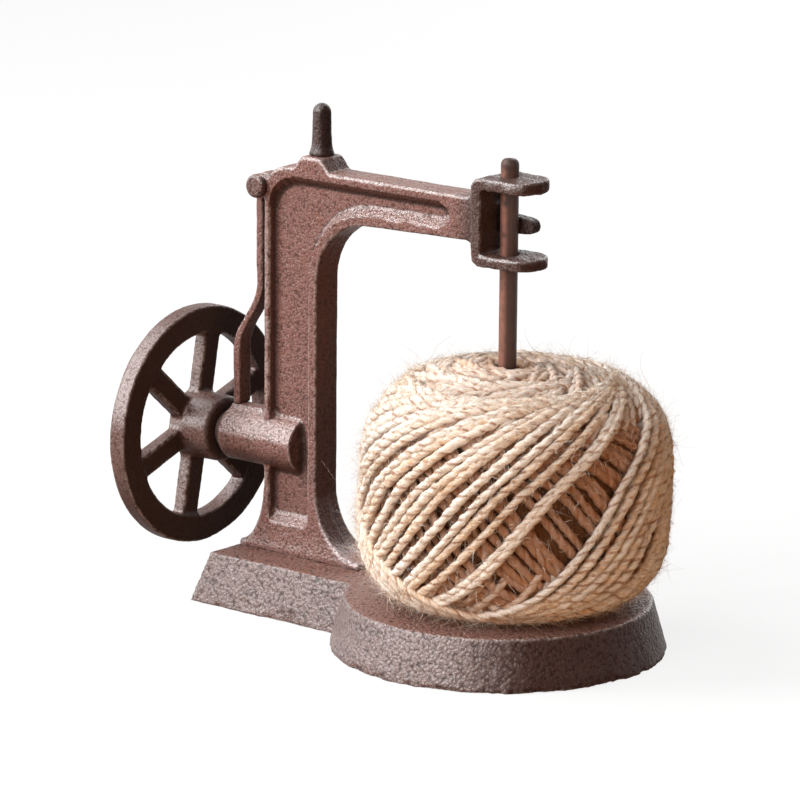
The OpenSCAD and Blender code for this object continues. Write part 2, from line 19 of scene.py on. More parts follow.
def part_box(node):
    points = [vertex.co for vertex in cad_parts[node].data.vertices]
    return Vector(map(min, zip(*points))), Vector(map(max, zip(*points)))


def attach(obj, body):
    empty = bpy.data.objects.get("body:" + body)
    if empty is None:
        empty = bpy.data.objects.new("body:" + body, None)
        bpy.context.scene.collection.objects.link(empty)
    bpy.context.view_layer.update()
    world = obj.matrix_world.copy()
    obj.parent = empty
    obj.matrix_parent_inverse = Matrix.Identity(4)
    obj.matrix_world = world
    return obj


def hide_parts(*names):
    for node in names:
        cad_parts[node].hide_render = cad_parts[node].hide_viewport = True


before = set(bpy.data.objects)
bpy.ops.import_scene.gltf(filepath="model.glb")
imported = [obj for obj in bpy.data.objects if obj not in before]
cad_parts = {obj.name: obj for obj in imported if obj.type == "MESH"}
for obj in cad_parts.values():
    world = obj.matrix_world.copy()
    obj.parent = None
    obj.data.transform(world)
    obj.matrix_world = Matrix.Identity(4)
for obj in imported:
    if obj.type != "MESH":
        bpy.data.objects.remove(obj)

LOG = logging.getLogger("string_holder")
MM = 0.001
PHASE = 6.28
VIEW_BACK, VIEW_HEIGHT = 45.04 * MM, 76.87 * MM
PEG_SHANK = 9.0 * MM
BALL_WAIST, BALL_PROUD = 46.3 * MM, 1.2 * MM

Colour = Tuple[float, float, float]
Place = Tuple[float, float, float]
Pair = Tuple[float, float]
Arrays = Tuple[np.ndarray, ...]
Material = bpy.types.Material
Piece = bpy.types.Object
Node = bpy.types.Node
Socket = bpy.types.NodeSocket


class Body(str, Enum):
    """The moving bodies of the CAD frame."""

    STAND = "stand"
    WHEEL = "wheel"
    ROD = "rod"
    BALL = "ball"


class Slot(str, Enum):
    """The record's material slots."""

    IRON = "cast_iron_brown"
    DARK_IRON = "cast_iron_dark"
    BROWN_STEEL = "steel_brown"
    DARK_STEEL = "steel_dark"
    TWINE = "twine"


class Axis(int, Enum):
    """A row axis, by its index."""

    X = 0
    Y = 1
    Z = 2


# Noise on whole arrays


class ValueNoise:
    """Smooth random field: values on a lattice, blended with an eased weight."""

    SIZE = 48
    SHIFT = 0.37
    LEVEL = 1.6

    def __init__(self, seed: int) -> None:
        """Fills the lattice from a seed."""
        self.lattice = np.random.RandomState(seed).rand(self.SIZE, self.SIZE, self.SIZE) * 2.0 - 1.0

    def at(self, points: np.ndarray, wavelength: float) -> np.ndarray:
        """Field at points: eight lattice corners weighted by f*f*(3-2f) on each axis.

        Args:
            points: array of n by 3 places in metres.
            wavelength: size of one lattice cell in metres.

        Returns:
            n values between -1 and 1.
        """
        scaled = points / wavelength
        cell = np.floor(scaled).astype(np.int64)
        part = scaled - cell
        ease = part * part * (3.0 - 2.0 * part)
        low = np.mod(cell, self.SIZE)
        high = np.mod(cell + 1, self.SIZE)
        total = np.zeros(len(points))
        for corner in range(8):
            pick = [(high if corner >> axis & 1 else low)[:, axis] for axis in range(3)]
            weight = np.prod([ease[:, axis] if corner >> axis & 1 else 1.0 - ease[:, axis]
                              for axis in range(3)], axis=0)
            total += weight * self.lattice[pick[0], pick[1], pick[2]]
        return total

    def layered(self, points: np.ndarray, wavelength: float, octaves: int) -> np.ndarray:
        """Sum of octaves finer and finer fields, each half as strong and half as long."""
        fields = (self.at(points + self.SHIFT * i, wavelength / 2 ** i) / 2 ** i for i in range(octaves))
        return sum(fields) / self.LEVEL


def unit(vectors: np.ndarray) -> np.ndarray:
    """Vectors made one long."""
    return vectors / np.maximum(np.linalg.norm(vectors, axis=-1, keepdims=True), 1e-12)


def waves(rng: np.random.RandomState, t: np.ndarray, count: int, orders: Sequence[int]) -> np.ndarray:
    """Sum over the orders k of u sin(k t + f) / k, with u and f drawn for each of count strands."""
    return sum(rng.uniform(-1.0, 1.0, (count, 1)) * np.sin(k * t + rng.uniform(0, PHASE, (count, 1))) / k
               for k in orders)


# Mesh making


@dataclass
class Grid:
    """A surface as a grid of points: rows along a path, columns round it."""

    points: np.ndarray
    wrap_columns: bool = True

    def quads(self, offset: int = 0) -> np.ndarray:
        """Four corner numbers of each face.

        Args:
            offset: number of the first point.

        Returns:
            array of faces by 4.
        """
        rows, columns = self.points.shape[:2]
        r = np.arange(rows - 1)[:, None] * columns
        c = np.arange(columns if self.wrap_columns else columns - 1)[None, :]
        r2, c2 = r + columns, (c + 1) % columns
        faces = np.stack(np.broadcast_arrays(r + c, r + c2, r2 + c2, r2 + c), axis=-1)
        return faces.reshape(-1, 4) + offset

    def copies(self, count: int) -> np.ndarray:
        """Faces of that many grids of this size, one after the other."""
        rows, columns = self.points.shape[:2]
        return np.concatenate([self.quads(i * rows * columns) for i in range(count)])


class MeshMaker:
    """Puts arrays into Blender meshes and ties them to the frame."""

    @staticmethod
    def mesh(name: str, points: np.ndarray, faces: np.ndarray, smooth: bool = True) -> Piece:
        """Makes an object at the origin from points and faces of equal length.

        Args:
            name: name of the piece.
            points: array of n by 3 places in metres.
            faces: array of faces by 3 or 4 point numbers.
            smooth: whether its faces are shaded smooth.

        Returns:
            the new object.
        """
        data = bpy.data.meshes.new(name)
        sides = faces.shape[1]
        data.vertices.add(len(points))
        data.vertices.foreach_set("co", np.ascontiguousarray(points, np.float32).ravel())
        data.loops.add(faces.size)
        data.loops.foreach_set("vertex_index", np.ascontiguousarray(faces, np.int32).ravel())
        data.polygons.add(len(faces))
        data.polygons.foreach_set("loop_start", np.arange(0, faces.size, sides, dtype=np.int32))
        data.polygons.foreach_set("use_smooth", np.full(len(faces), smooth))
        data.update(calc_edges=True)
        data.validate()
        piece = bpy.data.objects.new(name, data)
        bpy.context.scene.collection.objects.link(piece)
        return piece

    @staticmethod
    def corner_uv(piece: Piece, uv: np.ndarray) -> None:
        """Writes one UV pair for each face corner."""
        layer = piece.data.uv_layers.new(name="along")
        layer.data.foreach_set("uv", np.ascontiguousarray(uv, np.float32).ravel())

    @staticmethod
    def point_value(piece: Piece, name: str, values: np.ndarray) -> None:
        """Writes one number for each point, under a name."""
        layer = piece.data.attributes.new(name, "FLOAT", "POINT")
        layer.data.foreach_set("value", np.ascontiguousarray(values, np.float32))

    @staticmethod
    def place(piece: Piece, body: Body, slot: Slot, material: Material,
              nodes: Sequence[str] = ()) -> Piece:
        """Dresses a piece and ties it to its body.

        Args:
            piece: the new object.
            body: body that carries it.
            slot: record slot of its finish; not used.
            material: its material.
            nodes: CAD nodes that it stands for.

        Returns:
            the same object.
        """
        piece.data.materials.clear()
        piece.data.materials.append(material)
        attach(piece, body.value)
        if nodes:
            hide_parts(*nodes)
        LOG.info("%s: %d faces on %s", piece.name, len(piece.data.polygons), body.value)
        return piece


# Finishes


class NodeTree:
    """Short way to write the nodes of a material or a world."""

    FIRST, SECOND, MIXED = 6, 7, 2

    def __init__(self, owner: Union[Material, bpy.types.World],
                 output: str = "ShaderNodeOutputMaterial") -> None:
        """Clears the owner's nodes and adds an output.

        Args:
            owner: material or world.
            output: Blender's type of the output node.
        """
        owner.use_nodes = True
        self.owner = owner
        self.tree = owner.node_tree
        self.tree.nodes.clear()
        self.output = self.add(output)

    def add(self, kind: str, **values: object) -> Node:
        """Adds a node and sets its properties.

        Args:
            kind: Blender's node type.
            values: properties of the node.

        Returns:
            the node.
        """
        node = self.tree.nodes.new(kind)
        for key, value in values.items():
            setattr(node, key, value)
        return node

    def fill(self, node: Node, values: Dict[Union[int, str], object]) -> Node:
        """Links or sets a node's inputs.

        Args:
            node: node to change.
            values: for each input, by number or name, a socket to link or a value to set.

        Returns:
            the same node.
        """
        for key, value in values.items():
            socket = node.inputs[key]
            if isinstance(value, Socket):
                self.tree.links.new(value, socket)
            elif socket.type == "RGBA":
                socket.default_value = (*value, 1.0)
            else:
                socket.default_value = value
        return node

    def set(self, node: Node, **values: object) -> Node:
        """Links or sets a node's inputs by name, with _ for spaces."""
        return self.fill(node, {key.replace("_", " "): value for key, value in values.items()})

    def scaled(self, where: Socket, scale: Place) -> Socket:
        """Coordinates stretched by a scale."""
        return self.set(self.add("ShaderNodeMapping"), Vector=where, Scale=scale).outputs["Vector"]

    def coordinates(self, scale: Place = (1.0, 1.0, 1.0)) -> Socket:
        """Object coordinates, stretched by a scale."""
        return self.scaled(self.add("ShaderNodeTexCoord").outputs["Object"], scale)

    def parts(self, vector: Socket) -> Node:
        """A node whose outputs are the X, Y and Z of a vector."""
        return self.set(self.add("ShaderNodeSeparateXYZ"), Vector=vector)

    def facing(self) -> Node:
        """A node whose outputs are the X, Y and Z of the surface's normal."""
        return self.parts(self.add("ShaderNodeNewGeometry").outputs["Normal"])

    def noise(self, where: Socket, scale: float, detail: float, roughness: float = 0.55,
              distortion: float = 0.0) -> Socket:
        """Factor of a noise texture: scale cells in a metre, and finer layers of weight roughness."""
        node = self.set(self.add("ShaderNodeTexNoise"), Vector=where, Scale=scale, Detail=detail,
                        Roughness=roughness, Distortion=distortion)
        return node.outputs["Fac"]

    def ramp(self, value: Socket, low: float, high: float) -> Socket:
        """Maps low..high to 0..1 with an eased step."""
        node = self.add("ShaderNodeMapRange", interpolation_type="SMOOTHSTEP")
        return self.set(node, Value=value, From_Min=low, From_Max=high).outputs["Result"]

    def math(self, kind: str, a: object, b: object = 0.0) -> Socket:
        """Result of Blender's operation kind on two numbers or sockets."""
        return self.fill(self.add("ShaderNodeMath", operation=kind), {0: a, 1: b}).outputs["Value"]

    def times(self, a: object, b: object) -> Socket:
        """Product of two numbers or sockets."""
        return self.math("MULTIPLY", a, b)

    def plus(self, a: object, b: object) -> Socket:
        """Sum of two numbers or sockets."""
        return self.math("ADD", a, b)

    def less(self, a: object) -> Socket:
        """What a number or socket leaves of 1."""
        return self.math("SUBTRACT", 1.0, a)

    def most(self, a: object, b: object) -> Socket:
        """The larger of two numbers or sockets."""
        return self.math("MAXIMUM", a, b)

    def mix(self, factor: object, a: object, b: object) -> Socket:
        """Mix of two colours or sockets, by the share of the second."""
        node = self.add("ShaderNodeMix", data_type="RGBA")
        return self.fill(node, {"Factor": factor, self.FIRST: a, self.SECOND: b}).outputs[self.MIXED]

    def coats(self, colour: object, *coats: Tuple[object, float, Colour]) -> Socket:
        """A colour under thin coats.

        Args:
            colour: the lowest colour or socket.
            coats: for each coat, where it lies, its share there and its colour.

        Returns:
            the colour's socket.
        """
        for factor, share, paint in coats:
            colour = self.mix(self.times(factor, share), colour, paint)
        return colour

    def blend(self, factor: object, a: Node, b: Node) -> Node:
        """Mix of two shaders, by the share of the second."""
        return self.fill(self.add("ShaderNodeMixShader"), {0: factor, 1: a.outputs[0], 2: b.outputs[0]})

    def bump(self, height: Socket, distance: float, strength: float,
             below: Optional[Socket] = None) -> Socket:
        """A bump's normal.

        Args:
            height: its height, 0 to 1.
            distance: full height in metres.
            strength: its weight.
            below: normal of a bump that it is laid over.

        Returns:
            the normal's socket.
        """
        node = self.set(self.add("ShaderNodeBump"), Height=height, Distance=distance, Strength=strength)
        if below is not None:
            self.set(node, Normal=below)
        return node.outputs["Normal"]

    def attribute(self, name: str) -> Socket:
        """The piece's own point value of that name."""
        return self.add("ShaderNodeAttribute", attribute_name=name).outputs["Fac"]

    def surface(self, **values: object) -> None:
        """Adds the main shader, sets its inputs and joins it to the output."""
        shader = self.set(self.add("ShaderNodeBsdfPrincipled"), **values)
        self.set(self.output, Surface=shader.outputs["BSDF"])


@dataclass(frozen=True)
class CastIron:
    """Sand-cast iron with a brown patina: mottled and pitted, worn lighter along its edges partly as a
    painted highlight, with painted glints in its grain and painted shade on faces towards +x, on undersides
    and in creases.

    Attributes:
        name: name of the material.
        body: main colour.
        shade: colour of the painted shade on faces towards +x, on undersides and in creases, and of pits and
            grime.
        rust: colour of the patches.
        worn: colour of the worn edges, partly a painted highlight, and of the painted glints in the grain.
        dust_and_painted_shade: colour of faces along the axis below: dirt where it is z, painted shade on
            both sides where it is x.
        dust_and_painted_shade_share: how far that colour covers them.
        dust_and_painted_shade_axis: axis that those faces look along.
        grain: how high the grain stands, about 1 for a fine casting.
        pebble: grains in a metre.
        roughness: how wide its gloss spreads.
        dull: gloss of faces that aren't rubbed.
        sheen: what rubbed faces have beyond that.
        pits: how dark the pits are.
        sparks: how light the painted glints in the grain are.
    """

    name: str
    body: Colour
    shade: Colour
    rust: Colour
    worn: Colour
    dust_and_painted_shade: Colour
    dust_and_painted_shade_share: float = 0.75
    dust_and_painted_shade_axis: Axis = Axis.Z
    grain: float = 1.05
    pebble: float = 850.0
    roughness: float = 0.31
    dull: float = 0.18
    sheen: float = 1.55
    pits: float = 0.64
    sparks: float = 0.50

    MOTTLE_SCALE = 120.0
    PATCH_SCALE = 230.0
    EDGE_SCALE = 330.0
    FINE_SCALE = 2100.0
    RUST_SHARE = 0.50
    PAINTED_SHADE_SHARE = 0.65
    GRIME_SHARE = 0.82
    EDGE_SHARE = 0.65
    CREASE_SHADE_SHARE = 0.88
    COARSE_HEIGHT = 0.7 * MM
    FINE_HEIGHT = 0.2 * MM

    def pebbles(self, t: NodeTree, where: Socket) -> Socket:
        """Height of the coarse grain: noise with a share of round cells.

        Args:
            t: the material's nodes.
            where: coordinates.

        Returns:
            the height's socket.
        """
        cells = t.set(t.add("ShaderNodeTexVoronoi"), Vector=where, Scale=1.25 * self.pebble)
        grains = t.math("SUBTRACT", 0.95, cells.outputs["Distance"])
        coarse = t.noise(where, self.pebble, 3.0, 0.62, 0.2)
        return t.plus(t.times(coarse, 0.62), t.times(grains, 0.42))

    def material(self) -> Material:
        """Builds the node material.

        Returns:
            the material.
        """
        t = NodeTree(bpy.data.materials.new(self.name))
        where = t.coordinates()
        mottle = t.ramp(t.noise(where, self.MOTTLE_SCALE, 5.0, 0.62), -0.10, 0.58)
        patch = t.ramp(t.noise(where, self.PATCH_SCALE, 4.0, 0.6), 0.50, 0.72)
        coarse = self.pebbles(t, where)
        fine = t.noise(where, self.FINE_SCALE, 2.0, 0.6)
        convexity = t.attribute("convexity")
        grime = t.attribute("grime")
        turned = t.facing()
        # painted shade: faces that look down and faces towards +x are darkened to the shade colour and lose
        # most of their gloss
        under = t.times(t.ramp(turned.outputs["Z"], -0.10, -0.60), 0.8)
        painted_shade = t.most(t.ramp(turned.outputs["X"], 0.30, 0.75), under)
        leaning = t.ramp(turned.outputs["Z"], 0.05, 0.30)
        # faces along the axis take this colour: dirt on the upward faces of the castings, painted shade on
        # both x faces of the wheel
        along = turned.outputs[self.dust_and_painted_shade_axis.name]
        both_ways = self.dust_and_painted_shade_axis is Axis.X
        dust_and_painted_shade_mask = t.ramp(t.math("ABSOLUTE", along) if both_ways else along, 0.60, 0.97)
        dust_and_painted_shade_mask = t.times(dust_and_painted_shade_mask, self.dust_and_painted_shade_share)
        darkened = t.most(painted_shade, dust_and_painted_shade_mask) if both_ways else painted_shade
        # edges in the worn colour: worn lighter, and partly a painted highlight
        edge = t.times(t.ramp(convexity, 0.18, 0.65), t.ramp(t.noise(where, self.EDGE_SCALE, 3.0), 0.30, 0.62))
        edge = t.times(edge, t.less(t.times(grime, 0.65)))
        clear = t.math("SUBTRACT", t.less(darkened), t.times(grime, 0.55))
        # painted glints: light specks in the grain, kept off the painted-shade faces
        painted_glint = t.times(t.ramp(fine, 0.52, 0.66), t.most(clear, 0.0))
        pit = t.ramp(coarse, 0.50, 0.32)
        # painted shade in concave creases, kept off faces that lean up
        hollow = t.times(t.ramp(convexity, -0.08, -0.50), t.less(leaning))
        colour = t.coats(t.mix(mottle, self.shade, self.body), (patch, self.RUST_SHARE, self.rust),
                         (dust_and_painted_shade_mask, 1.0, self.dust_and_painted_shade), (painted_shade, self.PAINTED_SHADE_SHARE, self.shade),
                         (grime, self.GRIME_SHARE, self.shade), (edge, self.EDGE_SHARE, self.worn),
                         (painted_glint, self.sparks, self.worn), (pit, self.pits, self.shade),
                         (hollow, self.CREASE_SHADE_SHARE, self.shade))
        normal = t.bump(coarse, self.COARSE_HEIGHT * self.grain, 1.0)
        normal = t.bump(fine, self.FINE_HEIGHT * self.grain, 0.8, normal)
        rough = t.plus(t.times(mottle, 0.12), self.roughness - 0.06)
        rough = t.math("SUBTRACT", rough, t.times(edge, 0.10))
        rubbed = t.times(leaning, t.ramp(turned.outputs["Z"], 0.98, 0.85))
        gloss = t.plus(t.times(rubbed, self.sheen), self.dull)
        gloss = t.times(gloss, t.less(t.times(painted_shade, 0.9)))
        gloss = t.times(gloss, t.less(t.times(pit, 0.50)))
        t.surface(Base_Color=colour, Roughness=rough, Normal=normal, Metallic=0.0, Specular_IOR_Level=gloss)
        return t.owner


@dataclass(frozen=True)
class RodSteel:
    """Drawn steel gone brown, with fine lengthwise streaks, darker above the height dark_end, and with
    painted shade on its side towards +x.
    """

    name: str
    body: Colour
    shade: Colour
    roughness: float = 0.40
    metallic: float = 0.35
    dark_end: float = 1.0

    STREAK_SCALE = 1400.0
    STAIN_SCALE = 190.0
    DENT_SCALE = 520.0
    DENT_HEIGHT = 0.3 * MM

    def material(self) -> Material:
        """Builds the node material.

        Returns:
            the material.
        """
        t = NodeTree(bpy.data.materials.new(self.name))
        where = t.coordinates()
        streak = t.noise(t.coordinates((1.0, 1.0, 0.06)), self.STREAK_SCALE, 3.0, 0.6)
        stain = t.ramp(t.noise(where, self.STAIN_SCALE, 4.0, 0.6), 0.20, 0.58)
        # painted shade: the side of the rod that faces +x is darkened
        away = t.ramp(t.facing().outputs["X"], 0.00, 0.65)
        end = t.ramp(t.parts(where).outputs["Z"], self.dark_end - MM, self.dark_end + MM)
        colour = t.coats(t.mix(stain, self.shade, self.body), (t.ramp(streak, 0.5, 0.8), 0.35, self.shade),
                         (away, 0.88, self.shade), (end, 0.75, self.shade))
        normal = t.bump(t.noise(where, self.DENT_SCALE, 3.0), self.DENT_HEIGHT, 0.35)
        rough = t.plus(t.times(stain, 0.16), self.roughness - 0.08)
        t.surface(Base_Color=colour, Roughness=rough, Normal=normal, Metallic=self.metallic,
                  Specular_IOR_Level=0.25)
        return t.owner


@dataclass(frozen=True)
class JuteFibre:
    """Jute twine: streaks of pale and brown fibre that follow the twist of the strand, with painted shade
    between its plies and on its inner side.

    Attributes:
        name: name of the material.
        pale: colour of its lightest fibres.
        brown: colour of its darker fibres.
        deep: colour of the painted shade between its plies, on its inner side and on deep layers, and of dark
            threads and flecks.
        streaks: how strongly the fibres differ.
        groove: how dark the painted shade between its plies is.
    """

    name: str
    pale: Colour
    brown: Colour
    deep: Colour
    streaks: float = 1.0
    groove: float = 0.55

    FIBRE_STRETCH = (1.0, 5.0, 1.0)
    THREAD_STRETCH = (3.0, 26.0, 1.0)
    PLY_TURN = 4.0 * math.pi
    WOBBLE_SCALE, WOBBLE = 420.0, 1.7
    PATCH_SCALE = 130.0
    WORN_SCALE = 260.0
    FLECK_SCALE = 620.0
    FIBRE_HEIGHT = 0.8 * MM

    def material(self) -> Material:
        """Builds the node material.

        Returns:
            the material.
        """
        t = NodeTree(bpy.data.materials.new(self.name))
        where = t.coordinates()
        uv = t.add("ShaderNodeUVMap", uv_map="along").outputs["UV"]
        fibre = t.noise(t.scaled(uv, self.FIBRE_STRETCH), 3.2, 4.0, 0.62)
        wobble = t.times(t.noise(where, self.WOBBLE_SCALE, 3.0, 0.6), self.WOBBLE)
        ply = t.math("COSINE", t.plus(t.times(t.parts(uv).outputs["Y"], self.PLY_TURN), wobble))
        patch = t.noise(where, self.PATCH_SCALE, 3.0, 0.5)
        light = t.plus(t.times(fibre, self.streaks), t.times(patch, 0.45))
        light = t.plus(light, t.times(t.attribute("tint"), 0.30))
        # worn only breaks up the painted shade between the plies at random
        worn = t.plus(t.ramp(t.noise(where, self.WORN_SCALE, 2.0, 0.5), 0.40, 0.60), 0.15)
        groove = t.times(t.times(t.ramp(ply, -0.30, -1.0), self.groove), worn)
        thread = t.noise(t.scaled(uv, self.THREAD_STRETCH), 1.0, 3.0, 0.7, 0.6)
        fleck = t.noise(where, self.FLECK_SCALE, 3.0, 0.6)
        # the sunk value lays painted shade on deep layers, on the inner side of strands and on the inner body
        colour = t.coats(t.mix(t.ramp(light, 0.82, 1.34), self.brown, self.pale),
                         (t.math("MINIMUM", groove, 1.0), 1.0, self.deep),
                         (t.ramp(thread, 0.50, 0.34), 0.13 * self.streaks, self.deep),
                         (t.ramp(fleck, 0.42, 0.28), 0.40, self.deep),
                         (t.attribute("sunk"), 1.0, self.deep))
        normal = t.bump(t.plus(fibre, t.times(ply, 0.22)), self.FIBRE_HEIGHT, 0.9)
        t.surface(Base_Color=colour, Roughness=0.95, Normal=normal, Specular_IOR_Level=0.06)
        return t.owner


@dataclass(frozen=True)
class Finishes:
    """All the finishes of the holder."""

    iron: CastIron = CastIron(
        "iron_brown", body=(0.185, 0.084, 0.069), shade=(0.044, 0.024, 0.020), rust=(0.170, 0.068, 0.044),
        worn=(0.380, 0.300, 0.290), dust_and_painted_shade=(0.255, 0.124, 0.095))
    base_iron: CastIron = CastIron(
        "iron_base", body=(0.122, 0.062, 0.052), shade=(0.026, 0.013, 0.011), rust=(0.125, 0.052, 0.036),
        worn=(0.300, 0.255, 0.250), dust_and_painted_shade=(0.270, 0.124, 0.090),
        grain=2.0, pebble=640.0, sheen=1.15, pits=0.72, sparks=0.80)
    # dark finish: painted shade on the twine guide, which lies in the head's shadow, and the spool peg's own
    # darker tone
    dark_iron: CastIron = CastIron(
        "iron_dark", body=(0.062, 0.040, 0.036), shade=(0.018, 0.011, 0.010), rust=(0.070, 0.034, 0.026),
        worn=(0.260, 0.220, 0.215), dust_and_painted_shade=(0.070, 0.046, 0.041), grain=1.0, sheen=0.50, sparks=0.20)
    # both faces of the wheel along x take the near-black colour as painted shade
    wheel_iron: CastIron = CastIron(
        "iron_wheel", body=(0.112, 0.058, 0.047), shade=(0.036, 0.018, 0.015), rust=(0.105, 0.044, 0.030),
        worn=(0.330, 0.275, 0.270), dust_and_painted_shade=(0.043, 0.032, 0.027), dust_and_painted_shade_share=0.97, dust_and_painted_shade_axis=Axis.X,
        grain=0.45, roughness=0.40, sheen=0.85)
    rod: RodSteel = RodSteel(
        "rod_steel", body=(0.215, 0.094, 0.068), shade=(0.036, 0.021, 0.017),
        metallic=0.05, dark_end=161.0 * MM)
    bolt: RodSteel = RodSteel("bolt_steel", body=(0.120, 0.085, 0.075), shade=(0.050, 0.036, 0.032))
    jute: JuteFibre = JuteFibre(
        "jute", pale=(0.975, 0.930, 0.860), brown=(0.810, 0.550, 0.330), deep=(0.330, 0.122, 0.040),
        streaks=2.0, groove=0.62)
    # a dark copy of the jute: painted shade for the inner winding
    jute_shaded_core: JuteFibre = JuteFibre(
        "jute_shaded_core", pale=(0.300, 0.150, 0.075), brown=(0.160, 0.070, 0.032), deep=(0.055, 0.023, 0.010),
        streaks=2.0, groove=0.0)
    fuzz: JuteFibre = JuteFibre(
        "jute_fuzz", pale=(0.960, 0.900, 0.810), brown=(0.380, 0.200, 0.090), deep=(0.220, 0.105, 0.042),
        streaks=2.0, groove=0.0)


# Castings


@dataclass(frozen=True)
class Bore:
    """A round hole that stays open over its span: points nearer to its axis than keep are moved out to it."""

    axis: Axis
    centre: Place
    keep: float
    span: Pair

    def open(self, points: np.ndarray) -> np.ndarray:
        """Points with the hole cleared.

        Args:
            points: array of n by 3 places in metres.

        Returns:
            the moved points.
        """
        a = int(self.axis)
        sides = [i for i in range(3) if i != a]
        off = points[:, sides] - np.asarray(self.centre)[sides]
        reach = np.linalg.norm(off, axis=1)
        inside = (reach < self.keep) & (points[:, a] > self.span[0]) & (points[:, a] < self.span[1])
        moved = points.copy()
        scale = (self.keep / np.maximum(reach[inside], 1e-6))[:, None]
        moved[np.ix_(inside, sides)] = np.asarray(self.centre)[sides] + off[inside] * scale
        return moved


@dataclass(frozen=True)
class Recess:
    """A sunk panel on both sides of a plate, with walls that lean out as a mould needs.

    Attributes:
        half: half the plate's thickness in metres.
        depth: how deep the panel lies.
        lean: run of the lean along x and along z.
        low: lowest corner, in x and z, of the part of the plate that it changes.
        high: highest corner.
        cell: side of the cells in which it finds the walls.
    """

    half: float
    depth: float
    lean: Pair
    low: Pair
    high: Pair
    cell: float = 0.3 * MM

    SLACK = 0.35 * MM
    BELOW = 0.3 * MM
    FLAT = 0.7
    MARGIN = 3

    def open(self, points: np.ndarray, normals: np.ndarray) -> np.ndarray:
        """Points with the walls leaned out.

        Over each cell the panel rises to half - depth * d, the largest over the raised cells at
        dx and dz from it, where d is the length of (dx / lean_x, dz / lean_z), at most 1.

        Args:
            points: array of n by 3 places in metres.
            normals: unit normals there.

        Returns:
            the moved points.
        """
        flat = points[:, [0, 2]]
        low, high = np.asarray(self.low), np.asarray(self.high)
        inside = np.all((flat > low) & (flat < high), axis=1)
        spot = np.floor((flat - low) / self.cell).astype(int) + self.MARGIN
        shape = tuple(np.ceil((high - low) / self.cell).astype(int) + 2 * self.MARGIN + 1)
        reach = [int(run / self.cell) + 1 for run in self.lean]
        around = range(-self.MARGIN, self.MARGIN + 1)
        moved = points.copy()
        for side in (-1.0, 1.0):
            out = points[:, 1] * side
            level = inside & (normals[:, 1] * side > self.FLAT)
            proud = level & (out > self.half - self.SLACK)
            sunk = level & (out > 0.0) & (out < self.half - self.depth + self.SLACK)
            raised, panel = np.zeros(shape, bool), np.zeros(shape, bool)
            for dx in around:
                for dz in around:
                    panel[spot[sunk, 0] + dx, spot[sunk, 1] + dz] = True
                    if max(abs(dx), abs(dz)) < 2:
                        raised[spot[proud, 0] + dx, spot[proud, 1] + dz] = True
            rise = np.full(shape, -self.depth)
            for dx in range(-reach[0], reach[0] + 1):
                for dz in range(-reach[1], reach[1] + 1):
                    away = math.hypot(dx * self.cell / self.lean[0], dz * self.cell / self.lean[1])
                    near = np.roll(raised, (dx, dz), axis=(0, 1))
                    rise = np.where(near, np.maximum(rise, -self.depth * min(away, 1.0)), rise)
            pick = np.flatnonzero(inside & (out > self.half - self.depth - self.BELOW))
            pick = pick[panel[spot[pick, 0], spot[pick, 1]]]
            wall = self.half + rise[spot[pick, 0], spot[pick, 1]]
            moved[pick, 1] = side * np.maximum(out[pick], wall)
        return moved


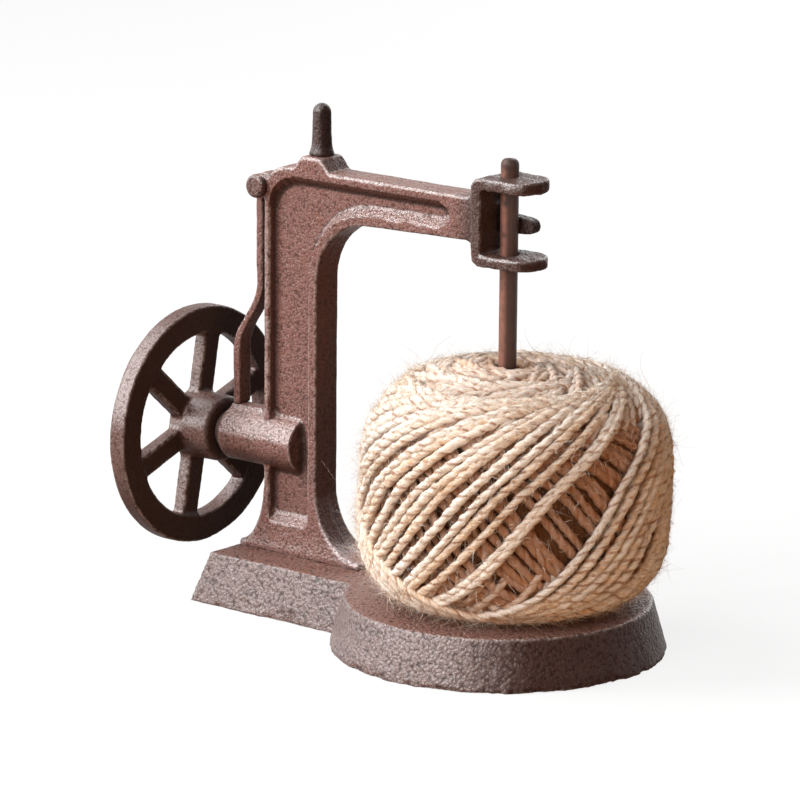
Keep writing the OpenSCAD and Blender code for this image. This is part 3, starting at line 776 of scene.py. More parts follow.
@dataclass
class Casting:
    """A cast piece: its CAD solid with softened edges and a sand-cast skin.

    Attributes:
        node: CAD node that it stands for.
        body: body that carries it.
        slot: record slot of its finish.
        voxel: side of the cells of its shell, in metres.
        passes: how often its edges are softened.
        lump: height of its slow lumps.
        grain: height of its cast grain.
        seam: height of the mould's seam.
        ragged: height of the noise at its foot.
        floor: whether it stands on the ground.
        bores: holes that stay open.
        recess: sunk panel with leaning walls.
        flare: height, spread and fade of a thicker ring.
        splay: the same for faces along y.
        gnarl: x at which rough noise sets in, and its height.
        seed: number that fixes its unevenness.
    """

    node: str
    body: Body
    slot: Slot
    voxel: float = 0.6 * MM
    passes: int = 9
    lump: float = 0.16 * MM
    grain: float = 0.10 * MM
    seam: float = 0.0
    ragged: float = 0.0
    floor: bool = False
    bores: Tuple[Bore, ...] = ()
    recess: Optional[Recess] = None
    flare: Place = (0.0, 0.0, 1.0)
    splay: Place = (0.0, 0.0, 1.0)
    gnarl: Pair = (1.0, 0.0)
    seed: int = 3

    LUMP_WAVE = 9.0 * MM
    GRAIN_WAVE = 2.6 * MM
    SEAM_WIDTH = 0.9 * MM
    SEAM_WANDER, WANDER_WAVE = 0.25 * MM, 14.0 * MM
    SEAM_WAVE = 6.0 * MM
    FOOT_HEIGHT = 4.5 * MM
    FOOT_WAVE = 6.0 * MM
    GNARL_WAVE = 3.6 * MM
    GNARL_RUN = 7.0 * MM
    SOFTEN = 0.5
    WIDE_PASSES, WIDEN = 6, 0.6
    FULL_BEND = 0.28 * MM

    def shell(self) -> Arrays:
        """The CAD solid as an even grid of four-sided faces.

        Returns:
            points and faces.
        """
        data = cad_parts[self.node].data.copy()
        work = bmesh.new()
        work.from_mesh(data)
        bmesh.ops.remove_doubles(work, verts=work.verts, dist=1e-6)
        work.to_mesh(data)
        work.free()
        if "custom_normal" in data.attributes:
            data.attributes.remove(data.attributes["custom_normal"])
        solid = bpy.data.objects.new("solid", data)
        bpy.context.scene.collection.objects.link(solid)
        remesh = solid.modifiers.new("even", "REMESH")
        remesh.mode = "VOXEL"
        remesh.voxel_size = self.voxel
        remesh.adaptivity = 0.0
        done = solid.evaluated_get(bpy.context.evaluated_depsgraph_get()).to_mesh()
        points = np.empty(len(done.vertices) * 3, np.float32)
        done.vertices.foreach_get("co", points)
        corners = np.empty(len(done.loops), np.int32)
        done.loops.foreach_get("vertex_index", corners)
        bpy.data.objects.remove(solid)
        bpy.data.meshes.remove(data)
        return points.reshape(-1, 3).astype(float), corners.reshape(-1, 4)

    @staticmethod
    def averages(points: np.ndarray, edges: np.ndarray) -> np.ndarray:
        """Mean of each point's neighbours along the edges.

        Args:
            points: array of n by 3 places in metres.
            edges: pairs of point numbers.

        Returns:
            n means.
        """
        ends = np.concatenate([edges[:, 0], edges[:, 1]])
        other = np.concatenate([edges[:, 1], edges[:, 0]])
        count = np.maximum(np.bincount(ends, minlength=len(points)), 1)
        sums = [np.bincount(ends, points[other, i], len(points)) for i in range(3)]
        return np.stack(sums, axis=1) / count[:, None]

    def softened(self, points: np.ndarray, edges: np.ndarray, passes: int, share: float) -> np.ndarray:
        """Points moved, pass by pass, a share of the way to the mean of their neighbours.

        Args:
            points: array of n by 3 places in metres.
            edges: pairs of point numbers.
            passes: number of passes.
            share: share of the way.

        Returns:
            the moved points.
        """
        for _ in range(passes):
            points = points + share * (self.averages(points, edges) - points)
        return points

    @staticmethod
    def normals(points: np.ndarray, faces: np.ndarray) -> np.ndarray:
        """Point normals: the sum of the cross products of face diagonals, made unit.

        Args:
            points: array of n by 3 places in metres.
            faces: array of faces by 4 point numbers.

        Returns:
            n unit normals.
        """
        p = points[faces]
        cross = np.cross(p[:, 2] - p[:, 0], p[:, 3] - p[:, 1])
        total = [np.bincount(faces.ravel(), np.repeat(cross[:, i], 4), len(points)) for i in range(3)]
        return unit(np.stack(total, axis=1))

    def skin(self, points: np.ndarray, normals: np.ndarray) -> np.ndarray:
        """How far each point stands out: lumps, cast grain, the mould's seam, a flare and a ragged foot.

        The seam is a bell curve of y on faces whose normal lies in the mould's plane. The flare
        fades out above and below its height as exp(-|dz| / fade), and the splay does so on faces
        along y. The ragged foot is noise that fades out above the ground. The gnarl is noise that
        sets in at its x.

        Args:
            points: array of n by 3 places in metres.
            normals: unit normals there.

        Returns:
            n distances in metres.
        """
        field_ = ValueNoise(self.seed)
        out = self.lump * field_.at(points, self.LUMP_WAVE)
        out = out + self.grain * field_.layered(points, self.GRAIN_WAVE, 3)
        if self.seam:
            flat = np.clip(1.0 - np.abs(normals[:, 1]) * 2.0, 0.0, 1.0)
            wander = points[:, 1] - self.SEAM_WANDER * field_.at(points, self.WANDER_WAVE)
            uneven = 0.65 + 0.35 * field_.at(points, self.SEAM_WAVE)
            out = out + self.seam * flat * uneven * np.exp(-(wander / self.SEAM_WIDTH) ** 2)
        upright, sideways = 1.0 - np.abs(normals[:, 2]), np.abs(normals[:, 1])
        for (height, spread, fade), share in ((self.flare, upright), (self.splay, sideways)):
            out = out + spread * np.exp(-np.abs(points[:, 2] - height) / fade) * share
        low = np.clip(1.0 - points[:, 2] / self.FOOT_HEIGHT, 0.0, 1.0)
        out = out + self.gnarl[1] * self.rough_end(points) * field_.layered(points, self.GNARL_WAVE, 3)
        return out + self.ragged * low * (field_.layered(points, self.FOOT_WAVE, 3) - 0.25)

    def rough_end(self, points: np.ndarray) -> np.ndarray:
        """Share, 0 to 1, of the gnarled end at each point."""
        return np.clip((points[:, 0] - self.gnarl[0]) / self.GNARL_RUN, 0.0, 1.0)

    def build(self, material: Material) -> Piece:
        """Makes the piece.

        Args:
            material: its finish.

        Returns:
            the new object, which stands for its CAD node.
        """
        points, faces = self.shell()
        edges = np.sort(np.concatenate([faces[:, [i, (i + 1) % 4]] for i in range(4)]), axis=1)
        edges = np.unique(edges, axis=0)
        if self.recess:
            points = self.recess.open(points, self.normals(points, faces))
        points = self.softened(points, edges, self.passes, self.SOFTEN)
        normals = self.normals(points, faces)
        wide = self.softened(points, edges, self.WIDE_PASSES, self.WIDEN)
        bend = np.einsum("ij,ij->i", points - wide, normals) / self.FULL_BEND
        points = points + normals * self.skin(points, normals)[:, None]
        for bore in self.bores:
            points = bore.open(points)
        if self.floor:
            points[:, 2] = np.maximum(points[:, 2], 0.0)
        piece = MeshMaker.mesh(self.node + "_skin", points, faces)
        MeshMaker.point_value(piece, "convexity", np.clip(bend, -1.0, 1.0))
        MeshMaker.point_value(piece, "grime", self.rough_end(points))
        return MeshMaker.place(piece, self.body, self.slot, material, (self.node,))


@dataclass
class CastFrame:
    """Base, frame, peg, guide, strap and pin: everything that is cast and stands still."""

    spindle: Pair
    peg_seat: float
    bore: float = 3.22 * MM
    head: Pair = (120.0 * MM, 170.0 * MM)
    socket: Pair = (6.3 * MM, 30.0 * MM)
    panel: Recess = Recess(half=6.0 * MM, depth=3.25 * MM, lean=(0.35 * MM, 2.6 * MM),
                           low=(-60.0 * MM, 24.0 * MM), high=(26.0 * MM, 152.0 * MM))
    pieces: List[Casting] = field(default_factory=list)

    def __post_init__(self) -> None:
        """Lists the castings once the spindle's place is known."""
        centre = (*self.spindle, 0.0)
        hole = Bore(Axis.Z, centre, self.bore, self.head)
        socket = Bore(Axis.Z, centre, self.bore, self.socket)
        self.pieces = [
            Casting("base_casting", Body.STAND, Slot.IRON, voxel=0.7 * MM, passes=5, lump=0.16 * MM,
                    grain=0.14 * MM, ragged=0.45 * MM, floor=True, bores=(socket,), seed=5),
            Casting("frame_casting", Body.STAND, Slot.IRON, voxel=0.55 * MM, passes=4, lump=0.10 * MM,
                    grain=0.07 * MM, seam=0.25 * MM, splay=(15.0 * MM, 2.0 * MM, 6.0 * MM),
                    gnarl=(self.spindle[0] - 19.0 * MM, 0.42 * MM), bores=(hole,),
                    recess=self.panel, seed=7),
            Casting("spool_peg", Body.STAND, Slot.IRON, voxel=0.35 * MM, passes=5, lump=0.30 * MM,
                    flare=(self.peg_seat, 1.3 * MM, 1.8 * MM), seed=11),
            Casting("rear_strap", Body.STAND, Slot.IRON, voxel=0.4 * MM, passes=7, lump=0.18 * MM, seed=13),
            Casting("strap_pin", Body.STAND, Slot.IRON, voxel=0.3 * MM, passes=5, lump=0.16 * MM, seed=17),
            Casting("twine_guide", Body.STAND, Slot.DARK_IRON, voxel=0.3 * MM, passes=6, lump=0.10 * MM,
                    seed=19),
        ]

    def build(self, finishes: Dict[Slot, Material], own: Dict[str, Material]) -> None:
        """Builds every casting in its slot's finish, or in its node's own where it has one."""
        for piece in self.pieces:
            piece.build(own.get(piece.node, finishes[piece.slot]))


@dataclass
class Handwheel:
    """The turning wheel with its spokes and hub, and the hollow that the bolt's head sinks into."""

    axis_height: float = 54.5 * MM
    bore: float = 3.2 * MM
    sink: float = 7.0 * MM
    sink_depth: float = 6.0 * MM

    def build(self, material: Material) -> Piece:
        """Makes the wheel.

        Args:
            material: its finish.

        Returns:
            the new object.
        """
        low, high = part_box("handwheel")
        centre = (0.0, 0.0, self.axis_height)
        hole = Bore(Axis.X, centre, self.bore, (low.x - MM, high.x + MM))
        sink = Bore(Axis.X, centre, self.sink, (low.x - MM, low.x + self.sink_depth))
        cast = Casting("handwheel", Body.WHEEL, Slot.DARK_IRON, voxel=0.55 * MM, passes=6, lump=0.12 * MM,
                       grain=0.05 * MM, bores=(hole, sink), seed=23)
        return cast.build(material)


@dataclass
class Spindle:
    """The lift-out rod: a lathe surface, slightly uneven, with a rounded top.

    Attributes:
        rings: rings of points along it.
        sides: points in a ring.
        top: length of the rounded top in metres.
        blunt: share of its radius that the top loses.
        foot: length of the tapered foot.
        taper: what the foot loses of its radius.
        dent: depth of its dents.
        seed: number that fixes the dents.
    """

    rings: int = 420
    sides: int = 48
    top: float = 2.2 * MM
    blunt: float = 0.72
    foot: float = 0.6 * MM
    taper: float = 0.5 * MM
    dent: float = 0.05 * MM
    seed: int = 29

    def build(self, material: Material) -> Piece:
        """Makes the rod: radius r(z) round its axis, eased to nothing at both ends.

        Args:
            material: its finish.

        Returns:
            the new object.
        """
        low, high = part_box("spindle")
        axis = (low + high) / 2
        full = (high.x - low.x) / 2
        t = np.linspace(0.0, 1.0, self.rings)
        height = low.z + (high.z - low.z) * t
        top = np.clip((height - (high.z - self.top)) / self.top, 0.0, 1.0)
        foot = np.clip((low.z + self.foot - height) / self.foot, 0.0, 1.0)
        dome = 1.0 - np.sqrt(np.clip(1.0 - top ** 2, 0.0, 1.0))
        radius = full * (1.0 - dome * self.blunt) - self.taper * foot
        radius[[0, -1]] = 0.0
        angle = np.linspace(0.0, 2.0 * np.pi, self.sides, endpoint=False)
        grid = np.stack(np.broadcast_arrays(axis.x + radius[:, None] * np.cos(angle),
                                            axis.y + radius[:, None] * np.sin(angle),
                                            height[:, None]), axis=-1)
        points = grid.reshape(-1, 3)
        dents = ValueNoise(self.seed).layered(points * np.array([1.0, 1.0, 0.35]), 2.4 * MM, 2) * self.dent
        out = (points - np.array([axis.x, axis.y, 0.0])) * np.array([1.0, 1.0, 0.0])
        points = points - out / (full + MM) * np.abs(dents)[:, None]
        piece = MeshMaker.mesh("spindle_rod", points, Grid(grid).quads())
        return MeshMaker.place(piece, Body.ROD, Slot.BROWN_STEEL, material, ("spindle",))


# Ball of twine


@dataclass(frozen=True)
class Layer:
    """One layer of the winding: loops that touch a ring round each pole.

    Attributes:
        name: name of its pieces.
        loops: loops in a full turn.
        pole: angle from the axis to that ring, in degrees.
        depth: how deep its twine lies below the ball's outside, in metres.
        start: first angle along a loop, in degrees; -90 is the lower ring and 90 the upper one.
        end: last angle along a loop.
        step: distance between rings of points, in metres.
        sides: points in a ring.
        skip: azimuths, in degrees, between which no strand crosses the middle.
        loose: how far, in degrees, a strand may miss the ring.
        seed: number that fixes its unevenness.
        parts: number of pieces that it is made in.
    """

    name: str
    loops: int
    pole: float
    depth: float
    start: float
    end: float
    step: float
    sides: int
    skip: Pair = (999.0, 999.0)
    loose: float = 1.8
    seed: int = 1
    parts: int = 1


@dataclass(frozen=True)
class Belt:
    """The last turns of the winding, laid round the ball's foot.

    Attributes:
        name: name of its piece.
        turns: number of turns, side by side.
        latitude: latitude of the first and the last turn, in degrees.
        lean: how far the turns lean, in degrees.
        azimuth: direction in which they lie highest, in degrees.
        step: distance between rings of points, in metres.
        sides: points in a ring.
        seed: number that fixes its unevenness.
    """

    name: str
    turns: int
    latitude: Pair
    lean: float
    azimuth: float
    step: float
    sides: int
    seed: int = 1


@dataclass(frozen=True)
class Fuzz:
    """One set of loose fibres.

    Attributes:
        name: its name.
        count: number of fibres.
        reach: shortest and longest fibre in metres.
        rise: least and most that they stand up from the strand.
        width: least and most half width at the root.
        seed: number that fixes them.
        rows: pairs of points along a fibre.
    """

    name: str
    count: int
    reach: Pair
    rise: Pair
    width: Pair
    seed: int
    rows: int = 5


@dataclass(frozen=True)
class BallForm:
    """The ball's outside: a squared spheroid that rests on the tray, with its poles on the spindle.

    In the direction e it lies at k (A e_r, C e_z), where k = (e_r^n + |e_z|^n)^(-1/n), C is the rise
    or the drop from the waist and n is how square that half is. Its middle moves over to the
    spindle towards the poles, and the waist lies a little askew.

    Attributes:
        spindle: x and y of the spindle's axis.
        offset: how far the ball's middle lies from that axis, in x and y.
        waist: height of its waist.
        half_width: radius A of its waist.
        rise: height of its top above the waist.
        drop: depth of its foot below the waist.
        top_square: n of the top half.
        low_square: n of the lower half.
        askew: slope of the waist.
        askew_azimuth: direction in which the waist rises, in degrees.
    """

    spindle: Pair
    offset: Pair
    waist: float
    half_width: float
    rise: float = 35.0 * MM
    drop: float = 46.0 * MM
    top_square: float = 2.4
    low_square: float = 5.0
    askew: float = 0.05
    askew_azimuth: float = 39.0

    def at(self, e: np.ndarray) -> Arrays:
        """Places and outward normals in the given directions.

        Args:
            e: unit directions, any shape by 3.

        Returns:
            points and unit normals of the same shape.
        """
        flat = np.maximum(np.hypot(e[..., 0], e[..., 1]), 1e-9)
        up = e[..., 2] > 0.0
        square = np.where(up, self.top_square, self.low_square)
        tall = np.where(up, self.rise, self.drop)
        k = (flat ** square + np.abs(e[..., 2]) ** square) ** (-1.0 / square)
        reach = k * flat
        height = k * e[..., 2]
        way = e[..., :2] / flat[..., None]
        middle = np.asarray(self.spindle) + np.asarray(self.offset) * reach[..., None]
        place = middle + way * (reach * self.half_width)[..., None]
        turn = math.radians(self.askew_azimuth)
        sideways = (place - np.asarray(self.spindle)) @ np.array([math.cos(turn), math.sin(turn)])
        z = self.waist + tall * height + self.askew * sideways * (1.0 - height ** 2)
        points = np.concatenate([place, z[..., None]], axis=-1)
        outward = way * (reach ** (square - 1.0) / self.half_width)[..., None]
        upward = np.sign(height) * np.abs(height) ** (square - 1.0) / tall
        return points, unit(np.concatenate([outward, upward[..., None]], axis=-1))


@dataclass
class TwineBall:
    """A wound ball of jute round the spindle.

    Attributes:
        form: shape of its outside.
        twine: thickness of the twine in metres.
        pitch: length of one turn of its twist.
        core_depth: how deep the inner body lies.
        bore: radius kept clear round the spindle.
        layers: layers of the winding.
        loose: loose fibres on the outer layer.
        gap_fuzz: loose fibres in the gaps between outer strands.
        belt_fuzz: loose fibres on the belt.
        belt: last turns, round the foot.
    """

    form: BallForm
    twine: float = 3.3 * MM
    pitch: float = 9.5 * MM
    core_depth: float = 5.6 * MM
    bore: float = 3.35 * MM
    layers: Tuple[Layer, ...] = (
        Layer("twine_outer", 50, 38.0, 0.0, -112.0, 104.0, 0.95 * MM, 10, skip=(-33.0, -14.0), seed=31,
              parts=3),
        Layer("twine_under", 58, 38.0, 2.9 * MM, 84.0, 276.0, 1.5 * MM, 8, seed=37, parts=2),
        Layer("twine_shoulder", 46, 26.0, 0.9 * MM, 30.0, 104.0, 1.4 * MM, 8, loose=3.0, seed=41),
        Layer("twine_crown", 30, 14.0, 1.2 * MM, 52.0, 106.0, 1.4 * MM, 8, loose=3.0, seed=43),
        Layer("twine_cap", 16, 8.0, 2.0 * MM, 66.0, 106.0, 1.3 * MM, 8, seed=61),
        Layer("twine_foot", 40, 26.0, 1.6 * MM, -102.0, -30.0, 1.8 * MM, 6, seed=47),
    )
    loose: Tuple[Fuzz, ...] = (
        Fuzz("fuzz_close", 24000, (1.2 * MM, 3.6 * MM), (0.02, 0.40), (0.05 * MM, 0.10 * MM), 73),
        Fuzz("fuzz_short", 12000, (1.0 * MM, 3.4 * MM), (0.10, 0.60), (0.025 * MM, 0.055 * MM), 53, 6),
        Fuzz("fuzz_long", 7000, (3.5 * MM, 9.0 * MM), (0.02, 0.32), (0.045 * MM, 0.080 * MM), 59, 8),
    )
    gap_fuzz: Fuzz = Fuzz(
        "fuzz_gaps", 9000, (2.0 * MM, 5.5 * MM), (0.20, 0.80), (0.045 * MM, 0.085 * MM), 79, 7)
    belt_fuzz: Fuzz = Fuzz(
        "fuzz_belt", 4500, (1.5 * MM, 8.0 * MM), (0.10, 0.90), (0.025 * MM, 0.055 * MM), 71, 7)
    belt: Belt = Belt("twine_belt", 4, (-41.0, -31.0), 26.0, 169.0, 1.0 * MM, 10, seed=67)

    SCATTER, SWAY, LIFT, STACK = 0.40, 0.22, 0.35, 0.45
    TUCK_ANGLE, TUCK = 18.0, 0.9
    BELT_SWAY = 1.6
    PROUD = (0.3, 0.9)
    UNEVEN = ((0.07, 4.3), (0.06, 1.9), (0.05, 0.85))
    FRAY, MOST_FRAY = 0.075, 0.15
    FULL_SHADE_DEPTH = 3.6 * MM
    MOST_BROWN, INNER_BROWN, CORE_BROWN = 0.80, 0.75, 0.7
    CORE_ROWS, CORE_SIDES = 90, 160
    DIMPLE_WIDTH, DIMPLE = 9.0 * MM, 2.0
    UV_LENGTH, UV_STEP = 9.0 * MM, 3.7
    ROOT, ROOT_ANGLE = 0.46, 1.2
    SLANT, BEND, CURL = 0.7, 0.75, 0.30
    SAG, TAPER = 0.8, 0.75
    FIBRE_TINTS = (-1.5, 1.0)

    def paths(self, layer: Layer) -> Arrays:
        """Middle lines of a layer's strands.

        A strand follows e(t) = cos(t) A + sin(t) B, the great circle through the equator at its
        own azimuth with its top at the layer's pole angle, laid on the ball's form. Slow noise
        moves it sideways and in and out, and its ends tuck under the strands that follow.

        Args:
            layer: the layer to lay out.

        Returns:
            points of strands by steps by 3, and outward normals.
        """
        rng = np.random.RandomState(layer.seed)
        turn = 360.0 / layer.loops
        azimuth = turn * np.arange(layer.loops) - 180.0
        azimuth = azimuth[(azimuth < layer.skip[0]) | (azimuth > layer.skip[1])]
        count = len(azimuth)
        azimuth = azimuth + rng.uniform(-self.SCATTER, self.SCATTER, count) * turn
        steps = int(math.radians(layer.end - layer.start) * self.form.half_width / layer.step)
        t = np.radians(np.linspace(layer.start, layer.end, steps))[None, :]
        tilt = np.radians(90.0 - layer.pole + rng.uniform(-1.0, 1.0, count) * layer.loose)[:, None]
        sway = waves(rng, t, count, (2, 3, 5))
        a = np.radians(azimuth)[:, None] + np.radians(turn * self.SWAY) * sway
        e = np.stack([np.cos(a) * np.cos(t) - np.sin(a) * np.cos(tilt) * np.sin(t),
                      np.sin(a) * np.cos(t) + np.cos(a) * np.cos(tilt) * np.sin(t),
                      np.sin(tilt) * np.sin(t)], axis=-1)
        lift = waves(rng, t, count, (3, 7, 11)) * self.LIFT * MM
        first, last = layer.start + self.TUCK_ANGLE, layer.end - self.TUCK_ANGLE
        past = np.maximum(np.radians(first) - t, t - np.radians(last))
        tuck = np.clip(past / np.radians(self.TUCK_ANGLE), 0.0, 1.0) ** 2 * self.twine * self.TUCK
        stack = rng.uniform(-self.STACK, self.STACK, (count, 1)) * MM
        depth = self.twine / 2 + layer.depth + tuck + lift + stack
        points, normal = self.form.at(e)
        return points - normal * depth[..., None], normal

    def belt_paths(self) -> Arrays:
        """Middle lines of the belt's turns.

        A turn follows the circle of its latitude, e(t) = (cos l cos t, cos l sin t, sin l), leaned
        over towards its azimuth, a little proud of the ball and no lower than the ball's foot.

        Returns:
            points of turns by steps by 3, and outward normals.
        """
        belt = self.belt
        rng = np.random.RandomState(belt.seed)
        steps = int(2.0 * math.pi * self.form.half_width / belt.step)
        t = np.linspace(0.0, 2.0 * np.pi, steps)[None, :]
        sway = waves(rng, t, belt.turns, (1, 2, 3, 5))
        lat = np.radians(np.linspace(*belt.latitude, belt.turns)[:, None] + self.BELT_SWAY * sway)
        high, lean = math.radians(belt.azimuth), math.radians(belt.lean)
        ahead = np.cos(lat) * np.cos(t) * math.cos(lean) - np.sin(lat) * math.sin(lean)
        side = np.cos(lat) * np.sin(t)
        up = np.cos(lat) * np.cos(t) * math.sin(lean) + np.sin(lat) * math.cos(lean)
        e = np.stack([ahead * math.cos(high) - side * math.sin(high),
                      ahead * math.sin(high) + side * math.cos(high), up], axis=-1)
        points, normal = self.form.at(e)
        proud = rng.uniform(*self.PROUD, (belt.turns, 1)) * MM - self.twine / 2
        points = points + normal * proud[..., None]
        points[..., 2] = np.maximum(points[..., 2], self.form.waist - self.form.drop + self.twine / 2)
        return points, normal

    def strands(self, layer: Union[Layer, Belt], points: np.ndarray, normal: np.ndarray,
                offset: int) -> Arrays:
        """Two-ply tubes round middle lines.

        The section is r(v) = r0 (0.93 + 0.07 cos 2(v - s)), two lobes that turn with the twist s, with
        a small random share at each point for the frayed fibres. It lies flat on the tray.

        Args:
            layer: the layer's counts.
            points: middle lines, strands by steps by 3.
            normal: outward normals there.
            offset: number added to the layer's seed.

        Returns:
            points, faces, corner UV pairs, and for each point a tint and how far it faces inwards.
        """
        count, steps = points.shape[:2]
        along = np.gradient(points, axis=1)
        length = np.linalg.norm(along, axis=-1, keepdims=True)
        along = along / length
        run = np.cumsum(length[..., 0], axis=1)
        side = unit(np.cross(along, normal))
        out = np.cross(side, along)
        rng = np.random.RandomState(layer.seed + 100 + offset)
        twist = 2.0 * np.pi * run / self.pitch + rng.uniform(0, PHASE, (count, 1))
        v = np.linspace(0.0, 2.0 * np.pi, layer.sides, endpoint=False)
        thick = 1.0 + sum(share * np.sin(run / (wave * MM) + rng.uniform(0, PHASE, (count, 1)))
                          for share, wave in self.UNEVEN)
        thick = thick * rng.uniform(0.84, 1.06, (count, 1))
        radius = (self.twine / 2 * thick)[..., None] * (0.93 + 0.07 * np.cos(2.0 * (v - twist[..., None])))
        fray = np.clip(rng.normal(0.0, self.FRAY, radius.shape), -self.MOST_FRAY, self.MOST_FRAY)
        radius = radius * (1.0 + fray)
        ring = (points[:, :, None, :]
                + (radius * np.cos(v))[..., None] * out[:, :, None, :]
                + (radius * np.sin(v))[..., None] * side[:, :, None, :])
        ring[:, [0, -1]] = points[:, [0, -1], None, :]
        ring[..., 2] = np.maximum(ring[..., 2], self.form.waist - self.form.drop)
        faces = Grid(ring[0]).copies(count)
        r = np.arange(steps - 1)[:, None]
        c = np.arange(layer.sides)[None, :]
        lay = twist / (2.0 * np.pi)
        own = self.UV_STEP * np.arange(count)[:, None, None]
        corners = ((r, c), (r, c + 1), (r + 1, c + 1), (r + 1, c))
        uv = np.stack([np.stack(np.broadcast_arrays(run[:, row] / self.UV_LENGTH + own,
                                                    column / layer.sides - lay[:, row]), axis=-1)
                       for row, column in corners], axis=3)
        tint = np.broadcast_to(rng.uniform(-0.5, 0.5, (count, 1, 1)), ring.shape[:3])
        # the side of each strand that faces the core, which takes painted shade
        inward = np.broadcast_to(np.clip(0.38 - 0.95 * np.cos(v), 0.0, 1.0), ring.shape[:3])
        return ring.reshape(-1, 3), faces, uv.reshape(-1, 2), tint.ravel(), inward.ravel()

    def fibres(self, fuzz: Fuzz, points: np.ndarray, normal: np.ndarray) -> Arrays:
        """Loose fibres: thin curved ribbons that leave a strand at a slant.

        A fibre follows p(t) = p0 + L (t d + t^2 bend + t curl sin(w t + f)), with a width that tapers
        to its tip.

        Args:
            fuzz: the set's counts and sizes.
            points: middle lines of the strands that they leave.
            normal: outward normals there.

        Returns:
            points and faces.
        """
        count, rows = fuzz.count, fuzz.rows
        rng = np.random.RandomState(fuzz.seed)
        flat, out = points.reshape(-1, 3), normal.reshape(-1, 3)
        along = unit(np.gradient(points, axis=1).reshape(-1, 3))
        pick = rng.randint(0, len(flat), count)
        p0, n, d = flat[pick], out[pick], along[pick]
        side = np.cross(d, n)
        angle = rng.uniform(-self.ROOT_ANGLE, self.ROOT_ANGLE, (count, 1))
        start = p0 + (n * np.cos(angle) + side * np.sin(angle)) * self.twine * self.ROOT
        lead = d * rng.choice([-1.0, 1.0], (count, 1)) * rng.uniform(0.4, 1.0, (count, 1))
        lead = lead + n * rng.uniform(*fuzz.rise, (count, 1))
        lead = unit(lead + side * rng.uniform(-self.SLANT, self.SLANT, (count, 1)))
        bend = rng.normal(0.0, self.BEND, (count, 3)) - n * rng.uniform(0.0, self.SAG, (count, 1))
        length = rng.uniform(*fuzz.reach, (count, 1)) * rng.uniform(0.5, 1.0, (count, 1))
        t = np.linspace(0.0, 1.0, rows)[None, :, None]
        curl = np.cross(lead, rng.normal(0.0, self.CURL, (count, 3)))[:, None]
        wave = np.sin(rng.uniform(3.0, 8.0, (count, 1, 1)) * t + rng.uniform(0, PHASE, (count, 1, 1)))
        shape = t * lead[:, None] + t * t * 0.8 * bend[:, None] + t * wave * curl
        line = start[:, None] + length[:, None] * shape
        width = unit(np.cross(lead, rng.normal(0.0, 1.0, (count, 3))))
        half = rng.uniform(*fuzz.width, (count, 1, 1)) * (1.0 - self.TAPER * t)
        ribbon = np.stack([line + width[:, None] * half, line - width[:, None] * half], axis=2)
        return ribbon.reshape(-1, 3), Grid(ribbon[0], wrap_columns=False).copies(count)

    def core(self) -> Piece:
        """The inner layers that show between strands, dark with painted shade: the ball's form, sunk by a
        depth.

        Near the spindle its radius stops at the bore, and a dimple draws it in.

        Returns:
            the new object.
        """
        t = np.linspace(-0.5 * np.pi, 0.5 * np.pi, self.CORE_ROWS)[:, None]
        v = np.linspace(0.0, 2.0 * np.pi, self.CORE_SIDES, endpoint=False)[None, :]
        e = np.stack(np.broadcast_arrays(np.cos(t) * np.cos(v), np.cos(t) * np.sin(v), np.sin(t)), axis=-1)
        points, normal = self.form.at(e)
        grid = points - normal * self.core_depth
        hub = np.asarray(self.form.spindle)
        off = grid[..., :2] - hub
        reach = np.linalg.norm(off, axis=-1, keepdims=True)
        sink = np.exp(-(reach / self.DIMPLE_WIDTH) ** 2) * self.DIMPLE * MM * np.sign(e[..., 2:])
        way = np.stack(np.broadcast_arrays(np.cos(v), np.sin(v) + 0.0 * t), axis=-1)
        off = np.where(reach < self.bore, way * self.bore, off)
        grid = np.concatenate([hub + off, grid[..., 2:] - sink], axis=-1)
        faces = Grid(grid).quads()
        piece = MeshMaker.mesh("twine_inner", grid.reshape(-1, 3), faces)
        count = len(faces)
        MeshMaker.corner_uv(piece, np.stack([np.repeat(np.arange(count) * 0.11, 4) % 7.0,
                                             np.tile([0.0, 0.1, 0.1, 0.0], count)], axis=1))
        # painted shade over the whole inner body
        MeshMaker.point_value(piece, "sunk", np.full(len(piece.data.vertices), self.CORE_BROWN))
        return piece

    def build(self, jute: Material, core: Material, fuzz: Material) -> None:
        """Makes the ball's strands, inner body and fuzz.

        Args:
            jute: finish of the strands.
            core: finish of the inner body, a dark copy of the jute that is painted shade.
            fuzz: finish of the loose fibres.
        """
        MeshMaker.place(self.core(), Body.BALL, Slot.TWINE, core, ("twine_core",))
        for layer in self.layers:
            points, normal = self.paths(layer)
            # painted shade on each layer, growing with its depth
            sunk = min(self.MOST_BROWN, layer.depth / self.FULL_SHADE_DEPTH)
            for part in range(layer.parts):
                pick = np.arange(len(points)) * layer.parts // len(points) == part
                name = "%s_%d" % (layer.name, part + 1)
                self.wind(name, layer, points[pick], normal[pick], part, sunk, jute)
            if layer.name == "twine_outer":
                for loose in self.loose:
                    self.hairs(loose, points, normal, fuzz)
            if layer.name == "twine_under":
                self.hairs(self.gap_fuzz, points, normal, fuzz)
        points, normal = self.belt_paths()
        self.wind(self.belt.name, self.belt, points, normal, 0, 0.0, jute)
        self.hairs(self.belt_fuzz, points, normal, fuzz)

